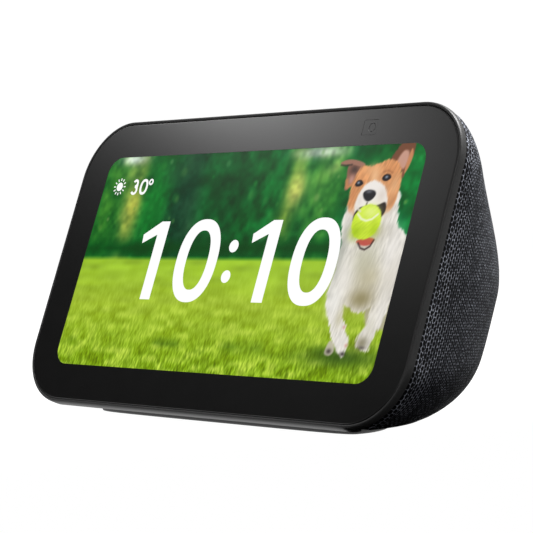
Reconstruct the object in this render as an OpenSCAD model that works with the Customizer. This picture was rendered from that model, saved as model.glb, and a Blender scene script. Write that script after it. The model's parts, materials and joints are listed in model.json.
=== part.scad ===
// Wedge-shaped smart display: tilted glass front, fabric-wrapped rear housing, rubber foot.
// Origin: centre of the footprint, on the surface it stands on. +X right, +Y rear, +Z up.
// Panel frame: x across, y depth behind the front face, z up the tilted face.

/* [Front frame] */
// Width across the front frame
frame_w = 147; // [146:0.5:148]
// Height of the front frame, measured up the tilted face
frame_h = 84.4; // [84:0.2:85]
// Corner radius of the front frame
frame_r = 17; // [16:0.5:18]
// Backward tilt of the front face
tilt = 20; // [18:0.5:22]
// Height of the bottom front lip above the table
lip_z = 2.7; // [2.5:0.1:3.5]
// Distance of the bottom front lip ahead of the origin
lip_y = 45.5; // [45:0.5:46]
// Depth of the rim that shows between the glass and the fabric
frame_depth = 4.2; // [4:0.1:4.6]
// Depth to which the frame's skirt reaches inside the housing
skirt_depth = 5.8; // [5.6:0.1:6]

/* [Cover glass and screen] */
// Rim left around the cover glass
glass_rim = 0.8; // [0.6:0.1:1.2]
// Thickness of the cover glass
glass_t = 1.1; // [0.9:0.1:1.1]
// Width of the lit screen area
screen_w = 124; // [122:0.5:125]
// Height of the lit screen area
screen_h = 62; // [60:0.5:62.5]

/* [Camera and shutter] */
// Distance of the camera to the right of the centre line
camera_x = 40.8; // [40:0.2:41.5]
// Height of the camera up the tilted face
camera_s = 78.1; // [78:0.1:78.4]
// Radius of the camera barrel
camera_r = 2.2; // [1.8:0.1:2.3]
// Travel of the privacy shutter
shutter_travel = 6.2; // [6:0.1:6.4]

/* [Top buttons] */
// Length of each button cap
button_l = 9; // [8:0.5:10]
// Width of each button cap
button_w = 4.4; // [4:0.2:4.6]
// Button centres: volume down, volume up, microphone and camera off
button_x = [-28, -14, 8];
// Travel of the buttons
button_travel = 0.4; // [0.3:0.05:0.5]

/* [Rear housing] */
// Greatest depth of the fabric dome behind the frame
dome_depth = 75.55; // [74:0.5:76]
// Height of the deepest level of the dome above the lip
dome_level = 29.9; // [29:0.5:31]
// Thickness of the fabric cover
fabric_t = 0.9; // [0.7:0.1:0.9]
// Inner face of the moulded housing, measured in from the outside of the fabric
shell_in = 3.2; // [3:0.1:3.4]

/* [Speaker] */
// Radius of the speaker's flange
driver_r = 20; // [19:0.5:20]
// Distance of the speaker flange behind the origin
driver_y = 26.7; // [26:0.1:27]
// Height of the centre of the speaker flange
driver_z = 43.3; // [43:0.1:43.6]
// Upward tilt of the speaker
driver_tilt = 35; // [34:0.5:36]

/* [Base] */
// Half width of the rubber foot
foot_hw = 50; // [48:0.5:50]
// Height of the housing's underside above the table
base_z = 1.5; // [1.4:0.1:1.6]

/* [Power inlet] */
// Height of the power inlet's axis
jack_z = 12.7; // [12.5:0.1:12.9]
// Bore radius of the power inlet
jack_r = 2.1; // [2:0.1:2.2]

/* [Hidden] */

$fn = 64;
eps = 0.05;
gap = 0.1;
mid_s = frame_h / 2;

// Stack of layers behind the front face
glass_front = 0.1;
glass_back = glass_front + glass_t;
shelf_front = 1.4;
shelf_back = 2.6;
lcd_back = 2.5;
backlight_back = 4.9;
tray_back = 5.6;
chassis_front = 7.4;
chassis_back = 9.2;
board_front = 11.2;
board_back = 12.4;
lcd_w = 127.6;
lcd_h = 65.6;
tray_wall = 0.5;
skirt_in = 4.5;
skirt_foot = 5.8;
skirt_top = 79.3;
skirt_t = 1.5;

// Mid-frame screws, three down each side
boss_x = 66.5;
boss_s = [20, mid_s, 60];
boss_r = 1.6;
screw_r = 0.85;
screw_hole = 0.9;

// Pocket behind the glass for the shutter and the camera
pocket_x = [27.6, 45];
pocket_s = [74.9, 81];
sensor_x = [47, 49.4];
sensor_s = [77, 79.2];
stem_w = 3;
stem_side = 3.2;
knob_x = camera_x - stem_side - stem_w / 2 - shutter_travel - 0.2;
blade_x = [knob_x - stem_w / 2, camera_x - 3.4];

// Strip of controls on top, just behind the frame
deck_w = 96;
deck_front = 4.4;
deck_back = 13.8;
deck_bottom = 81.2;
deck_top = 83.6;
deck_mid = (deck_front + deck_back) / 2;
deck_r = (deck_back - deck_front) / 2;
cap_gap = 0.2;
cap_top = 84.1;
flange_top = 81.1;
flange_bottom = 80.5;
stem_r = 1.2;
stem_bottom = 77.3;
plunger_r = 1.1;
plunger_bottom = 76.2;
switch_top = 76.6;
top_board_s = 73.2;
top_board_t = 1.2;
top_board_top = top_board_s + top_board_t;
top_board_x = [-46, 25.5];
post_x = [-43, 22.5];
mic_x = [-37.5, 17];

// Speaker, measured along its own axis from the flange's front face
enclosure_r = 21.5;
enclosure_front = -2.2;
enclosure_depth = 14.5;
enclosure_wall = 1.6;
cone_outer_r = 13.2;
cone_inner_r = 5.4;

// Base outline, a flat-fronted oval: half width, level of the widest line, reach to front and rear
foot_mid_y = -31;
foot_front = 6;
foot_rear = 38;
foot_rear_power = 1.75;
foot_front_power = 4.5;
plate_margin = 2;
base_plate_t = 2.1;
foot_t = 2;
base_screw_at = [[-36, -30], [36, -30], [-24, -6], [24, -6]];
base_boss_r = 3;
base_hole_r = 1.05;
base_boss_top = 9;
floor_window_x = [-24, 24];
floor_window_y = [-31, -12];
shell_out = 1;

// Power inlet along +Y
jack_front_y = 19.5;
jack_back_y = 28.3;
bezel_front_y = 28.5;
recess_y = 31;
bezel_hole_y = 22;
bezel_r = 5.4;
recess_r = 4.3;
lead_start_y = -28;
plug_hole_r = 2.3;

// Housing surface. Each level z above the lip is an arc from edge to edge of the frame, given by a
// superellipse whose half width follows the frame's outline and whose depth swells and closes again.
dome_hw = 72.8;
dome_corner = 16.3;
dome_sharp = 1.706;
dome_bottom = base_z - lip_z;
dome_start = frame_depth * cos(tilt);
top_power = [1.5, 1.2];
low_power = [4, 5];
low_reach = 33.5;
upper_rows = 14;
lower_rows = 6;
columns = 28;

function slope_s(z) = (z + frame_depth * sin(tilt)) / cos(tilt);
function into_corner(s) = max(0, dome_corner - s, s - (frame_h - dome_corner));
function half_width(s, inset) =
    dome_hw - dome_corner
    + sqrt(max(0, pow(dome_corner - inset, 2) - pow(min(into_corner(s), dome_corner - inset), 2)));
function dome_top(inset) = (frame_h - 0.7 - inset) * cos(tilt) - frame_depth * sin(tilt);
function dome_reach(z, inset) =
    z > dome_level
    ? pow(max(0, 1 - pow((z - dome_level) / (dome_top(inset) - dome_level), top_power[0])), 1 / top_power[1])
    : pow(max(0, 1 - pow((dome_level - z) / (low_reach - inset), low_power[0])), 1 / low_power[1]);
function signed_power(v, p) = sign(v) * pow(abs(v), p);
function row_level(i, inset) =
    i <= lower_rows
    ? dome_bottom + inset + (dome_level - dome_bottom - inset) * i / lower_rows
    : dome_level + (dome_top(inset) - dome_level)
        * pow(sin(90 * (i - lower_rows) / upper_rows), 2 / top_power[0]);
function dome_point(i, j, inset, start) =
    let (z = row_level(i, inset))
    let (across = 180 * j / columns - 90)
    let (depth = (dome_depth - inset) * dome_reach(z, inset))
    let (on_front = j == 0 || j == columns || i == lower_rows + upper_rows)
    let (ahead = on_front ? frame_depth - start : 0)
    [
        half_width(slope_s(z), inset) * signed_power(sin(across), 2 / dome_sharp),
        dome_start + slope_s(z) * sin(tilt) - lip_y - ahead * cos(tilt)
            + depth * pow(max(0, cos(across)), 2 / dome_sharp),
        z + lip_z + ahead * sin(tilt)
    ];

// Solid under the housing surface, moved in by inset from the outside of the fabric and closed by
// the plane that lies start behind the front face.
module dome_solid(inset, start) {
    rows = lower_rows + upper_rows;
    row = columns + 1;
    points = [for (i = [0:rows]) for (j = [0:columns]) dome_point(i, j, inset, start)];
    skin = [
        for (i = [0:rows - 1]) for (j = [0:columns - 1]) for (half = [0, 1])
            let (k = i * row + j)
            half == 0 ? [k, k + 1, k + row + 1] : [k, k + row + 1, k + row]
    ];
    front = [
        for (i = [0:rows - 2])
            let (k = i * row)
            [k, k + row, k + row + columns, k + columns]
    ];
    last = (rows - 1) * row;
    top_face = concat([last + columns, last], [for (j = [0:columns]) last + row + j]);
    floor_front = [0, columns, columns - 1, 1];
    floor_rear = [for (j = [columns - 1:-1:1]) j];
    polyhedron(points, concat(skin, front, [top_face, floor_front, floor_rear]), convexity = 6);
}

module in_panel() {
    translate([0, -lip_y, lip_z]) rotate([-tilt, 0, 0]) children();
}

// Axis along +Z, front face of the speaker flange at z = 0
module in_speaker() {
    translate([0, driver_y, driver_z]) rotate([driver_tilt - 90, 0, 0]) children();
}

// Rounded plate in the panel frame, from depth d0 to depth d1, centred on x = 0 and level s
module slab(w, h, r, d0, d1, s = mid_s) {
    translate([-w / 2 + r, d0, s - h / 2]) cube([w - 2 * r, d1 - d0, h]);
    translate([-w / 2, d0, s - h / 2 + r]) cube([w, d1 - d0, h - 2 * r]);
    for (i = [-1, 1]) for (j = [-1, 1])
        translate([i * (w / 2 - r), d0, s + j * (h / 2 - r)])
            rotate([-90, 0, 0]) cylinder(r = r, h = d1 - d0);
}

// Box between two corners
module block(x, y, z) {
    translate([x[0], y[0], z[0]]) cube([x[1] - x[0], y[1] - y[0], z[1] - z[0]]);
}

// Bar with round ends that lies along x and stands from level s0 to level s1
module pill(l, w, x, d, s0, s1) {
    translate([x - (l - w) / 2, d - w / 2, s0]) cube([l - w, w, s1 - s0]);
    for (i = [-1, 1])
        translate([x + i * (l - w) / 2, d, s0]) cylinder(r = w / 2, h = s1 - s0);
}

// Cylinder from z0 to z1
module disc(r, z0, z1) {
    translate([0, 0, z0]) cylinder(r = r, h = z1 - z0);
}

// Ring from z0 to z1
module ring(r_out, r_in, z0, z1) {
    difference() {
        disc(r_out, z0, z1);
        disc(r_in, z0 - 1, z1 + 1);
    }
}

// Cylinder across the panel, from depth d0 to depth d1
module peg(r, x, s, d0, d1) {
    translate([x, d0, s]) rotate([-90, 0, 0]) cylinder(r = r, h = d1 - d0);
}

// Screw with its shank along +Z and its head below zero
module screw(head_r, head_h, shank_r, length) {
    difference() {
        union() {
            disc(head_r, -head_h, 0);
            disc(shank_r, -eps, length);
        }
        disc(head_r / 2, -head_h - 1, -head_h / 2);
    }
}

module base_outline(hw, front, rear) {
    steps = 24;
    polygon([
        for (k = [0:steps]) let (a = 180 * k / steps - 90)
            [
                hw * signed_power(sin(a), 2 / foot_rear_power),
                foot_mid_y + rear * pow(max(0, cos(a)), 2 / foot_rear_power)
            ],
        for (k = [1:steps - 1]) let (a = 90 - 180 * k / steps)
            [
                hw * signed_power(sin(a), 2 / foot_front_power),
                foot_mid_y - front * pow(cos(a), 2 / foot_front_power)
            ]
    ]);
}

module base_layer(margin, z0, z1) {
    translate([0, 0, z0])
        linear_extrude(z1 - z0)
            base_outline(foot_hw + margin, foot_front + margin, foot_rear + margin);
}

// ---- Front ----

module cover_glass() {
    color([0.1, 0.1, 0.11])
        in_panel() slab(frame_w - 2 * glass_rim, frame_h - 2 * glass_rim, frame_r - glass_rim, glass_front, glass_back);
}

module glass_adhesive() {
    color([0.05, 0.05, 0.05])
        in_panel() difference() {
            slab(frame_w - 4, frame_h - 4, frame_r - 2, glass_back, shelf_front - 0.02);
            slab(134, 70.6, 2, 0, 3);
            block(pocket_x, [0, 3], pocket_s);
        }
}

module lcd_panel() {
    color([0.35, 0.6, 0.25])
        in_panel() slab(lcd_w, lcd_h, 1.5, glass_back + eps, lcd_back);
}

module backlight_unit() {
    color([0.9, 0.9, 0.92])
        in_panel() slab(lcd_w - 0.4, lcd_h - 0.4, 1.5, lcd_back + eps, backlight_back);
}

module display_tray() {
    color([0.7, 0.7, 0.72])
        in_panel() difference() {
            slab(lcd_w + 2, lcd_h + 1.4, 2, shelf_back, tray_back);
            slab(lcd_w + 2 - 2 * tray_wall, lcd_h + 1.4 - 2 * tray_wall, 1.5, 0, backlight_back + gap);
            block([-8, 8], [0, 9], [18, 24]);
        }
}

module front_frame() {
    skirt_out_w = frame_w - 2 * skirt_in;
    skirt_out_h = frame_h - 2 * skirt_in;
    color([0.09, 0.09, 0.1])
        in_panel() {
            difference() {
                union() {
                    slab(frame_w, frame_h, frame_r, 0, frame_depth);
                    slab(skirt_out_w, skirt_out_h, frame_r - skirt_in, frame_depth - eps, skirt_depth);
                }
                block([-frame_w / 2, frame_w / 2], [frame_depth, 9], [0, skirt_foot]);
                block([-frame_w / 2, frame_w / 2], [frame_depth, 9], [skirt_top, frame_h]);
                block([sensor_x[0] - gap, sensor_x[1] + gap], [0, 3], [sensor_s[0] - gap, sensor_s[1] + gap]);
                slab(frame_w - 2 * glass_rim + 0.2, frame_h - 2 * glass_rim + 0.2, frame_r - glass_rim + 0.1, -1, glass_back);
                slab(frame_w - 3.6, frame_h - 3.6, frame_r - 1.8, 0, shelf_front);
                slab(lcd_w + 3, lcd_h + 2.2, 2.2, 0, 9);
                slab(
                    skirt_out_w - 2 * skirt_t, skirt_out_h - 2 * skirt_t, frame_r - skirt_in - skirt_t,
                    shelf_back, 9
                );
                block(pocket_x, [0, 9], pocket_s);
            }
            for (i = [-1, 1]) for (s = boss_s) difference() {
                peg(boss_r, i * boss_x, s, shelf_back - eps, chassis_front);
                peg(screw_hole, i * boss_x, s, shelf_back + 1, chassis_front + 1);
            }
        }
}

module camera_module() {
    color([0.12, 0.12, 0.13])
        in_panel() difference() {
            union() {
                peg(camera_r, camera_x, camera_s, 2.3, 5.9);
                block([camera_x - 2.8, camera_x + 2.8], [5.8, 7.8], [camera_s - 2.8, camera_s + 2.8]);
            }
            peg(1.4, camera_x, camera_s, 0, 3);
        }
}

module camera_lens() {
    color([0.3, 0.35, 0.5])
        in_panel() intersection() {
            translate([camera_x, 4.3, camera_s]) sphere(2.2);
            peg(1.35, camera_x, camera_s, 2, 3);
        }
}

module camera_flex() {
    color([0.75, 0.5, 0.15])
        in_panel() {
            block([camera_x - 2, camera_x + 2], [7.85, 8.1], [72, camera_s + 2.5]);
            block([camera_x - 2, camera_x + 2], [7.85, board_front - 0.3], [71.75, 72]);
            block([camera_x - 2, camera_x + 2], [board_front - 0.3, board_front - eps], [62, 72]);
        }
}

module light_sensor() {
    color([0.2, 0.2, 0.22])
        in_panel() block(sensor_x, [1.5, 2.4], sensor_s);
}

// ---- Privacy shutter ----

module shutter_blade() {
    stem_x = [knob_x - stem_w / 2, knob_x + stem_w / 2];
    color([0.85, 0.85, 0.83])
        in_panel() {
            block(blade_x, [1.35, 1.75], [75.9, 80.2]);
            block(stem_x, [1.35, deck_mid + 1], [79.2, 80.2]);
            block(stem_x, [deck_mid - 1, deck_mid + 1], [79.2, deck_top - 0.95]);
        }
}

module shutter_knob() {
    color([0.12, 0.12, 0.13])
        in_panel() difference() {
            pill(8, 3.4, knob_x, deck_mid, deck_top - 0.95, deck_top + 0.55);
            for (i = [-1:1])
                block([knob_x + 1.2 * i - 0.25, knob_x + 1.2 * i + 0.25], [deck_mid - 1.2, deck_mid + 1.2], [deck_top + 0.3, deck_top + 1]);
        }
}

// ---- Top controls ----

module button_deck() {
    slot_x = [knob_x - stem_w / 2 - 0.3, knob_x + stem_w / 2 + shutter_travel + 0.3];
    color([0.1, 0.1, 0.11])
        in_panel() {
            difference() {
                pill(deck_w, 2 * deck_r, 0, deck_mid, deck_bottom, deck_top);
                for (x = button_x)
                    pill(button_l + 2 * cap_gap, button_w + 2 * cap_gap, x, deck_mid, deck_bottom - 1, deck_top + 1);
                for (x = mic_x)
                    translate([x, deck_mid, deck_bottom - 1]) cylinder(r = 0.6, h = 4);
                pill(
                    8.6 + shutter_travel, 4, knob_x + shutter_travel / 2, deck_mid,
                    deck_top - 1, deck_top + 1
                );
                block(slot_x, [deck_mid - 1.2, deck_mid + 1.2], [deck_bottom - 1, deck_top]);
            }
            for (x = post_x) difference() {
                translate([x, deck_mid, top_board_top]) cylinder(r = 1.8, h = deck_bottom - top_board_top + eps);
                translate([x, deck_mid, top_board_top - 1]) cylinder(r = screw_hole, h = 5.5);
            }
        }
}

module button(x) {
    in_panel() {
        pill(button_l, button_w, x, deck_mid, flange_bottom, cap_top);
        pill(button_l + 1.2, button_w + 1.2, x, deck_mid, flange_bottom, flange_top - eps);
        translate([x, deck_mid, stem_bottom]) cylinder(r = stem_r, h = flange_bottom - stem_bottom + eps);
    }
}

module volume_down_button() {
    color([0.13, 0.13, 0.14])
        difference() {
            button(button_x[0]);
            in_panel() block([button_x[0] - 1.4, button_x[0] + 1.4], [deck_mid - 0.3, deck_mid + 0.3], [cap_top - 0.2, cap_top + 1]);
        }
}

module volume_up_button() {
    color([0.13, 0.13, 0.14])
        difference() {
            button(button_x[1]);
            in_panel() {
                block([button_x[1] - 1.4, button_x[1] + 1.4], [deck_mid - 0.3, deck_mid + 0.3], [cap_top - 0.2, cap_top + 1]);
                block([button_x[1] - 0.3, button_x[1] + 0.3], [deck_mid - 1.4, deck_mid + 1.4], [cap_top - 0.2, cap_top + 1]);
            }
        }
}

module mute_button() {
    color([0.13, 0.13, 0.14])
        difference() {
            button(button_x[2]);
            in_panel() translate([button_x[2], deck_mid, cap_top - 0.2]) ring(1.3, 0.8, 0, 1);
        }
}

module plunger(x) {
    color([0.9, 0.88, 0.8])
        in_panel() translate([x, deck_mid, plunger_bottom]) cylinder(r = plunger_r, h = stem_bottom - plunger_bottom);
}

module volume_down_plunger() {
    plunger(button_x[0]);
}

module volume_up_plunger() {
    plunger(button_x[1]);
}

module mute_plunger() {
    plunger(button_x[2]);
}

module tact_switches() {
    color([0.15, 0.15, 0.16])
        in_panel() for (x = button_x) difference() {
            block([x - 2.3, x + 2.3], [deck_mid - 2.3, deck_mid + 2.3], [top_board_top, switch_top]);
            translate([x, deck_mid, top_board_top + 0.6]) cylinder(r = plunger_r + 0.2, h = 4);
        }
}

module button_board() {
    color([0.05, 0.3, 0.15])
        in_panel() difference() {
            block(top_board_x, [deck_front + 1.9, deck_back - 0.6], [top_board_s, top_board_top]);
            for (x = post_x)
                translate([x, deck_mid, top_board_s - 1]) cylinder(r = 1, h = 4);
        }
}

module button_flex() {
    color([0.75, 0.5, 0.15])
        in_panel() {
            block([-6, 4], [board_front - 1.2, board_front - 1], [62, top_board_s - eps]);
            block([-6, 4], [board_front - 1.2, board_front - eps], [61.8, 62]);
        }
}

module mic_seals() {
    color([0.2, 0.2, 0.2])
        in_panel() for (x = mic_x)
            translate([x, deck_mid, 0]) ring(1.5, 0.5, top_board_top + 1.05, deck_bottom - eps);
}

module microphones() {
    color([0.8, 0.7, 0.4])
        in_panel() for (x = mic_x) difference() {
            block([x - 1.8, x + 1.8], [deck_mid - 1.3, deck_mid + 1.3], [top_board_top, top_board_top + 1]);
            translate([x, deck_mid, top_board_top + 0.5]) cylinder(r = 0.4, h = 1);
        }
}

module deck_screws() {
    color([0.75, 0.75, 0.77])
        in_panel() for (x = post_x)
            translate([x, deck_mid, top_board_s]) screw(1.7, 0.9, screw_r, 4.5);
}

// ---- Mid-frame and main board ----

module chassis() {
    color([0.18, 0.18, 0.19])
        in_panel() {
            difference() {
                slab(136.4, 65, 12, chassis_front, chassis_back, 38.5);
                slab(108, 40, 3, 0, 12, 38.5);
                for (i = [-1, 1]) for (s = boss_s)
                    peg(1.1, i * boss_x, s, 0, 12);
            }
            for (x = [-54, 54]) for (s = [16, 61]) difference() {
                peg(2.6, x, s, chassis_back - eps, board_front);
                peg(screw_hole, x, s, chassis_back - 1, board_front + 1);
            }
        }
}

module chassis_screws() {
    color([0.75, 0.75, 0.77])
        in_panel() for (i = [-1, 1]) for (s = boss_s)
            translate([i * boss_x, chassis_back, s]) rotate([90, 0, 0]) screw(1.5, 1, screw_r, 5);
}

module main_board() {
    color([0.04, 0.28, 0.16])
        in_panel() difference() {
            slab(114, 51, 2, board_front, board_back, 38.5);
            for (x = [-54, 54]) for (s = [16, 61])
                peg(1.1, x, s, 0, 20);
        }
}

module board_chips() {
    color([0.1, 0.1, 0.1])
        in_panel() {
            block([-9, 5], [board_back, board_back + 1.2], [34, 48]);
            block([9, 19], [board_back, board_back + 1.2], [36, 48]);
            block([-30, -18], [board_back, board_back + 1.4], [20, 28]);
            block([28, 36], [board_back, board_back + 1.6], [18, 26]);
            block([-48, -40], [board_back, board_back + 1.8], [40, 48]);
        }
}

module shield_can() {
    color([0.78, 0.78, 0.8])
        in_panel() difference() {
            block([-12, 22], [board_back, board_back + 2.2], [31, 51]);
            block([-11.7, 21.7], [board_back - 1, board_back + 1.9], [31.3, 50.7]);
        }
}

module thermal_pad() {
    color([0.5, 0.6, 0.75])
        in_panel() block([-9, 19], [board_back + 2.2, board_back + 2.7], [33, 49]);
}

module heat_spreader() {
    color([0.8, 0.8, 0.82])
        in_panel() {
            block([-26, 36], [board_back + 2.7, board_back + 3.7], [24, 56]);
            for (s = [26:5:54])
                block([-26, 36], [board_back + 3.6, board_back + 4.7], [s - 0.4, s + 0.4]);
        }
}

module board_screws() {
    color([0.75, 0.75, 0.77])
        in_panel() for (x = [-54, 54]) for (s = [16, 61])
            translate([x, board_back, s]) rotate([90, 0, 0]) screw(1.9, 1, screw_r, 3);
}

module wifi_antennas() {
    color([0.85, 0.65, 0.25])
        in_panel() for (i = [-1, 1])
            block([60 * i - 2.5, 60 * i + 2.5], [chassis_back + gap, chassis_back + 0.5], [28, 56]);
}

module display_flex() {
    color([0.75, 0.5, 0.15])
        in_panel() {
            block([-6, 6], [tray_back - 0.3, board_front - eps], [20.8, 21]);
            block([-6, 6], [board_front - 0.3, board_front - eps], [20.8, 26]);
        }
}

// ---- Rear housing ----

module deck_opening(extra) {
    straight = deck_w / 2 - deck_r;
    in_panel() {
        pill(deck_w + 2 * extra, 2 * (deck_r + extra), 0, deck_mid, deck_bottom - 6, deck_top + 8);
        block([-straight, straight], [0, deck_mid], [deck_bottom - 6, deck_top + 8]);
    }
}

module grille_slots() {
    reach = 17;
    in_speaker() for (i = [-3:3])
        let (half = sqrt(reach * reach - pow(4.8 * i, 2)))
        block([4.8 * i - 1.2, 4.8 * i + 1.2], [-half, half], [1.5, 22]);
}

module rear_shell() {
    color([0.14, 0.14, 0.15]) {
        difference() {
            dome_solid(shell_out, frame_depth);
            dome_solid(shell_in, frame_depth - gap);
            deck_opening(cap_gap);
            grille_slots();
            base_layer(plate_margin + cap_gap, 0, base_z + base_plate_t + gap);
            block(floor_window_x, floor_window_y, [0, 9]);
            for (p = base_screw_at)
                translate([p[0], p[1], 0]) cylinder(r = base_hole_r, h = base_boss_top);
            translate([0, bezel_hole_y, jack_z]) rotate([-90, 0, 0]) cylinder(r = bezel_r + 0.15, h = 30);
        }
        for (p = base_screw_at) translate([p[0], p[1], 0])
            ring(base_boss_r, base_hole_r, base_z + base_plate_t + gap, base_boss_top);
    }
}

module fabric_cover() {
    color([0.16, 0.17, 0.19])
        difference() {
            dome_solid(0, frame_depth);
            dome_solid(fabric_t, frame_depth - gap);
            deck_opening(cap_gap);
            base_layer(plate_margin + cap_gap, 0, 6);
            translate([0, bezel_hole_y, jack_z]) rotate([-90, 0, 0]) cylinder(r = bezel_r + 0.15, h = 30);
        }
}

// ---- Base ----

module base_plate() {
    color([0.12, 0.12, 0.13])
        difference() {
            base_layer(plate_margin, base_z, base_z + base_plate_t);
            base_layer(gap, 0, foot_t);
            for (p = base_screw_at)
                translate([p[0], p[1], 0]) {
                    cylinder(r = 1.3, h = 9);
                    cylinder(r = 2.2, h = foot_t + 0.9);
                }
        }
}

module foot_pad() {
    color([0.07, 0.07, 0.07])
        base_layer(0, 0, foot_t);
}

module base_magnets() {
    color([0.75, 0.75, 0.78])
        for (i = [-1, 1])
            translate([16 * i, -21.5, base_z + base_plate_t + eps]) cylinder(r = 5, h = 2);
}

module base_screws() {
    color([0.75, 0.75, 0.77])
        for (p = base_screw_at)
            translate([p[0], p[1], foot_t + 0.9]) screw(2, 0.8, 1, 5);
}

// ---- Power inlet ----

module dc_jack() {
    color([0.1, 0.1, 0.1])
        difference() {
            block([-4.5, 4.5], [jack_front_y, jack_back_y], [jack_z - 2.9, jack_z + 2.9]);
            translate([0, jack_front_y + 1.2, jack_z]) rotate([-90, 0, 0]) cylinder(r = jack_r, h = 20);
        }
}

module jack_pin() {
    color([0.85, 0.75, 0.4])
        translate([0, jack_front_y + 1.2, jack_z]) rotate([-90, 0, 0]) cylinder(r = 0.75, h = 6.2);
}

module jack_bezel() {
    color([0.1, 0.1, 0.11])
        difference() {
            intersection() {
                dome_solid(0.3, frame_depth);
                translate([0, bezel_front_y, jack_z]) rotate([-90, 0, 0]) cylinder(r = bezel_r, h = 20);
            }
            translate([0, bezel_front_y - 1, jack_z]) rotate([-90, 0, 0]) cylinder(r = plug_hole_r, h = 20);
            translate([0, recess_y, jack_z]) rotate([-90, 0, 0]) cylinder(r = recess_r, h = 20);
        }
}

module jack_leads() {
    color([0.7, 0.1, 0.1])
        for (i = [-1, 1])
            translate([2 * i, lead_start_y, jack_z - 1])
                rotate([-90, 0, 0]) cylinder(r = 0.7, h = jack_front_y - lead_start_y - eps);
}

// ---- Speaker ----

module speaker_enclosure() {
    back = enclosure_front - enclosure_depth;
    color([0.1, 0.1, 0.11])
        in_speaker() difference() {
            disc(enclosure_r, back, enclosure_front);
            disc(enclosure_r - enclosure_wall - 1.8, back + enclosure_wall, enclosure_front + 1);
            for (a = [45:90:315])
                rotate([0, 0, a]) translate([19.3, 0, back + 4]) cylinder(r = 0.8, h = 20);
        }
}

module speaker_gasket() {
    color([0.3, 0.3, 0.32])
        in_speaker() difference() {
            ring(driver_r, 18.2, enclosure_front + eps, -1.25);
            for (a = [45:90:315])
                rotate([0, 0, a]) translate([19.3, 0, -5]) cylinder(r = 0.9, h = 9);
        }
}

module speaker_basket() {
    color([0.55, 0.55, 0.57])
        in_speaker() difference() {
            union() {
                ring(driver_r, 16.6, -1.2, 0);
                ring(17.8, 16.6, -7, 0);
                ring(17.8, 9.4, -7.8, -7);
                ring(10.6, 9.4, -9.4, -7.8);
            }
            for (a = [0:60:300])
                rotate([0, 0, a]) block([11.5, 20], [-3.2, 3.2], [-9, -2.5]);
            for (a = [45:90:315])
                rotate([0, 0, a]) translate([19.3, 0, -5]) cylinder(r = 0.9, h = 9);
        }
}

module speaker_top_plate() {
    color([0.6, 0.6, 0.62])
        in_speaker() ring(10.6, 5.9, -10.9, -9.4);
}

module speaker_magnet() {
    color([0.35, 0.35, 0.37])
        in_speaker() ring(9.8, 6.6, -13.4, -10.9);
}

module speaker_yoke() {
    color([0.6, 0.6, 0.62])
        in_speaker() {
            disc(10.6, -14.9, -13.4);
            disc(4.6, -13.5, -9.2);
        }
}

module voice_coil() {
    color([0.8, 0.45, 0.2])
        in_speaker() ring(cone_inner_r, 5, -11.8, -4.6);
}

module speaker_cone() {
    color([0.12, 0.12, 0.12])
        in_speaker() rotate_extrude()
            polygon([[cone_inner_r, -5.4], [cone_inner_r, -4.9], [cone_outer_r, -1.2], [cone_outer_r, -1.7]]);
}

module dust_cap() {
    color([0.15, 0.15, 0.15])
        in_speaker() difference() {
            intersection() {
                translate([0, 0, -9.6]) sphere(7.2);
                disc(cone_inner_r - eps, -4.6, 0);
            }
            translate([0, 0, -9.6]) sphere(6.8);
        }
}

module cone_surround() {
    color([0.08, 0.08, 0.08])
        in_speaker() rotate_extrude()
            polygon([
                [cone_outer_r + 0.02, -1.7], [16.58, -1.7], [16.58, -1.2], [16, 0.1], [14.8, 0.7],
                [13.7, 0.1], [cone_outer_r + 0.02, -1.2]
            ]);
}

module spider() {
    color([0.75, 0.6, 0.3])
        in_speaker() ring(9.3, cone_inner_r + 0.02, -8.3, -8);
}

module speaker_screws() {
    color([0.75, 0.75, 0.77])
        in_speaker() for (a = [45:90:315])
            rotate([0, 0, a]) translate([19.3, 0, 0]) rotate([180, 0, 0]) screw(1.2, 0.7, 0.75, 5);
}

module speaker_leads() {
    color([0.7, 0.1, 0.1])
        in_speaker() for (i = [-1, 1])
            translate([2 * i, 12, enclosure_front - enclosure_depth - 4]) cylinder(r = 0.5, h = 4 - eps);
}

cover_glass();
glass_adhesive();
lcd_panel();
backlight_unit();
display_tray();
front_frame();
camera_module();
camera_lens();
camera_flex();
light_sensor();
shutter_blade();
shutter_knob();
button_deck();
volume_down_button();
volume_up_button();
mute_button();
volume_down_plunger();
volume_up_plunger();
mute_plunger();
tact_switches();
button_board();
button_flex();
mic_seals();
microphones();
deck_screws();
chassis();
chassis_screws();
main_board();
board_chips();
shield_can();
thermal_pad();
heat_spreader();
board_screws();
wifi_antennas();
display_flex();
rear_shell();
fabric_cover();
base_plate();
foot_pad();
base_magnets();
base_screws();
dc_jack();
jack_pin();
jack_bezel();
jack_leads();
speaker_enclosure();
speaker_gasket();
speaker_basket();
speaker_magnet();
speaker_yoke();
speaker_top_plate();
voice_coil();
speaker_cone();
dust_cap();
cone_surround();
spider();
speaker_screws();
speaker_leads();
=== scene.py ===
import json
import math

import bmesh
import bpy
import numpy as np
from mathutils import Matrix, Vector


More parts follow.
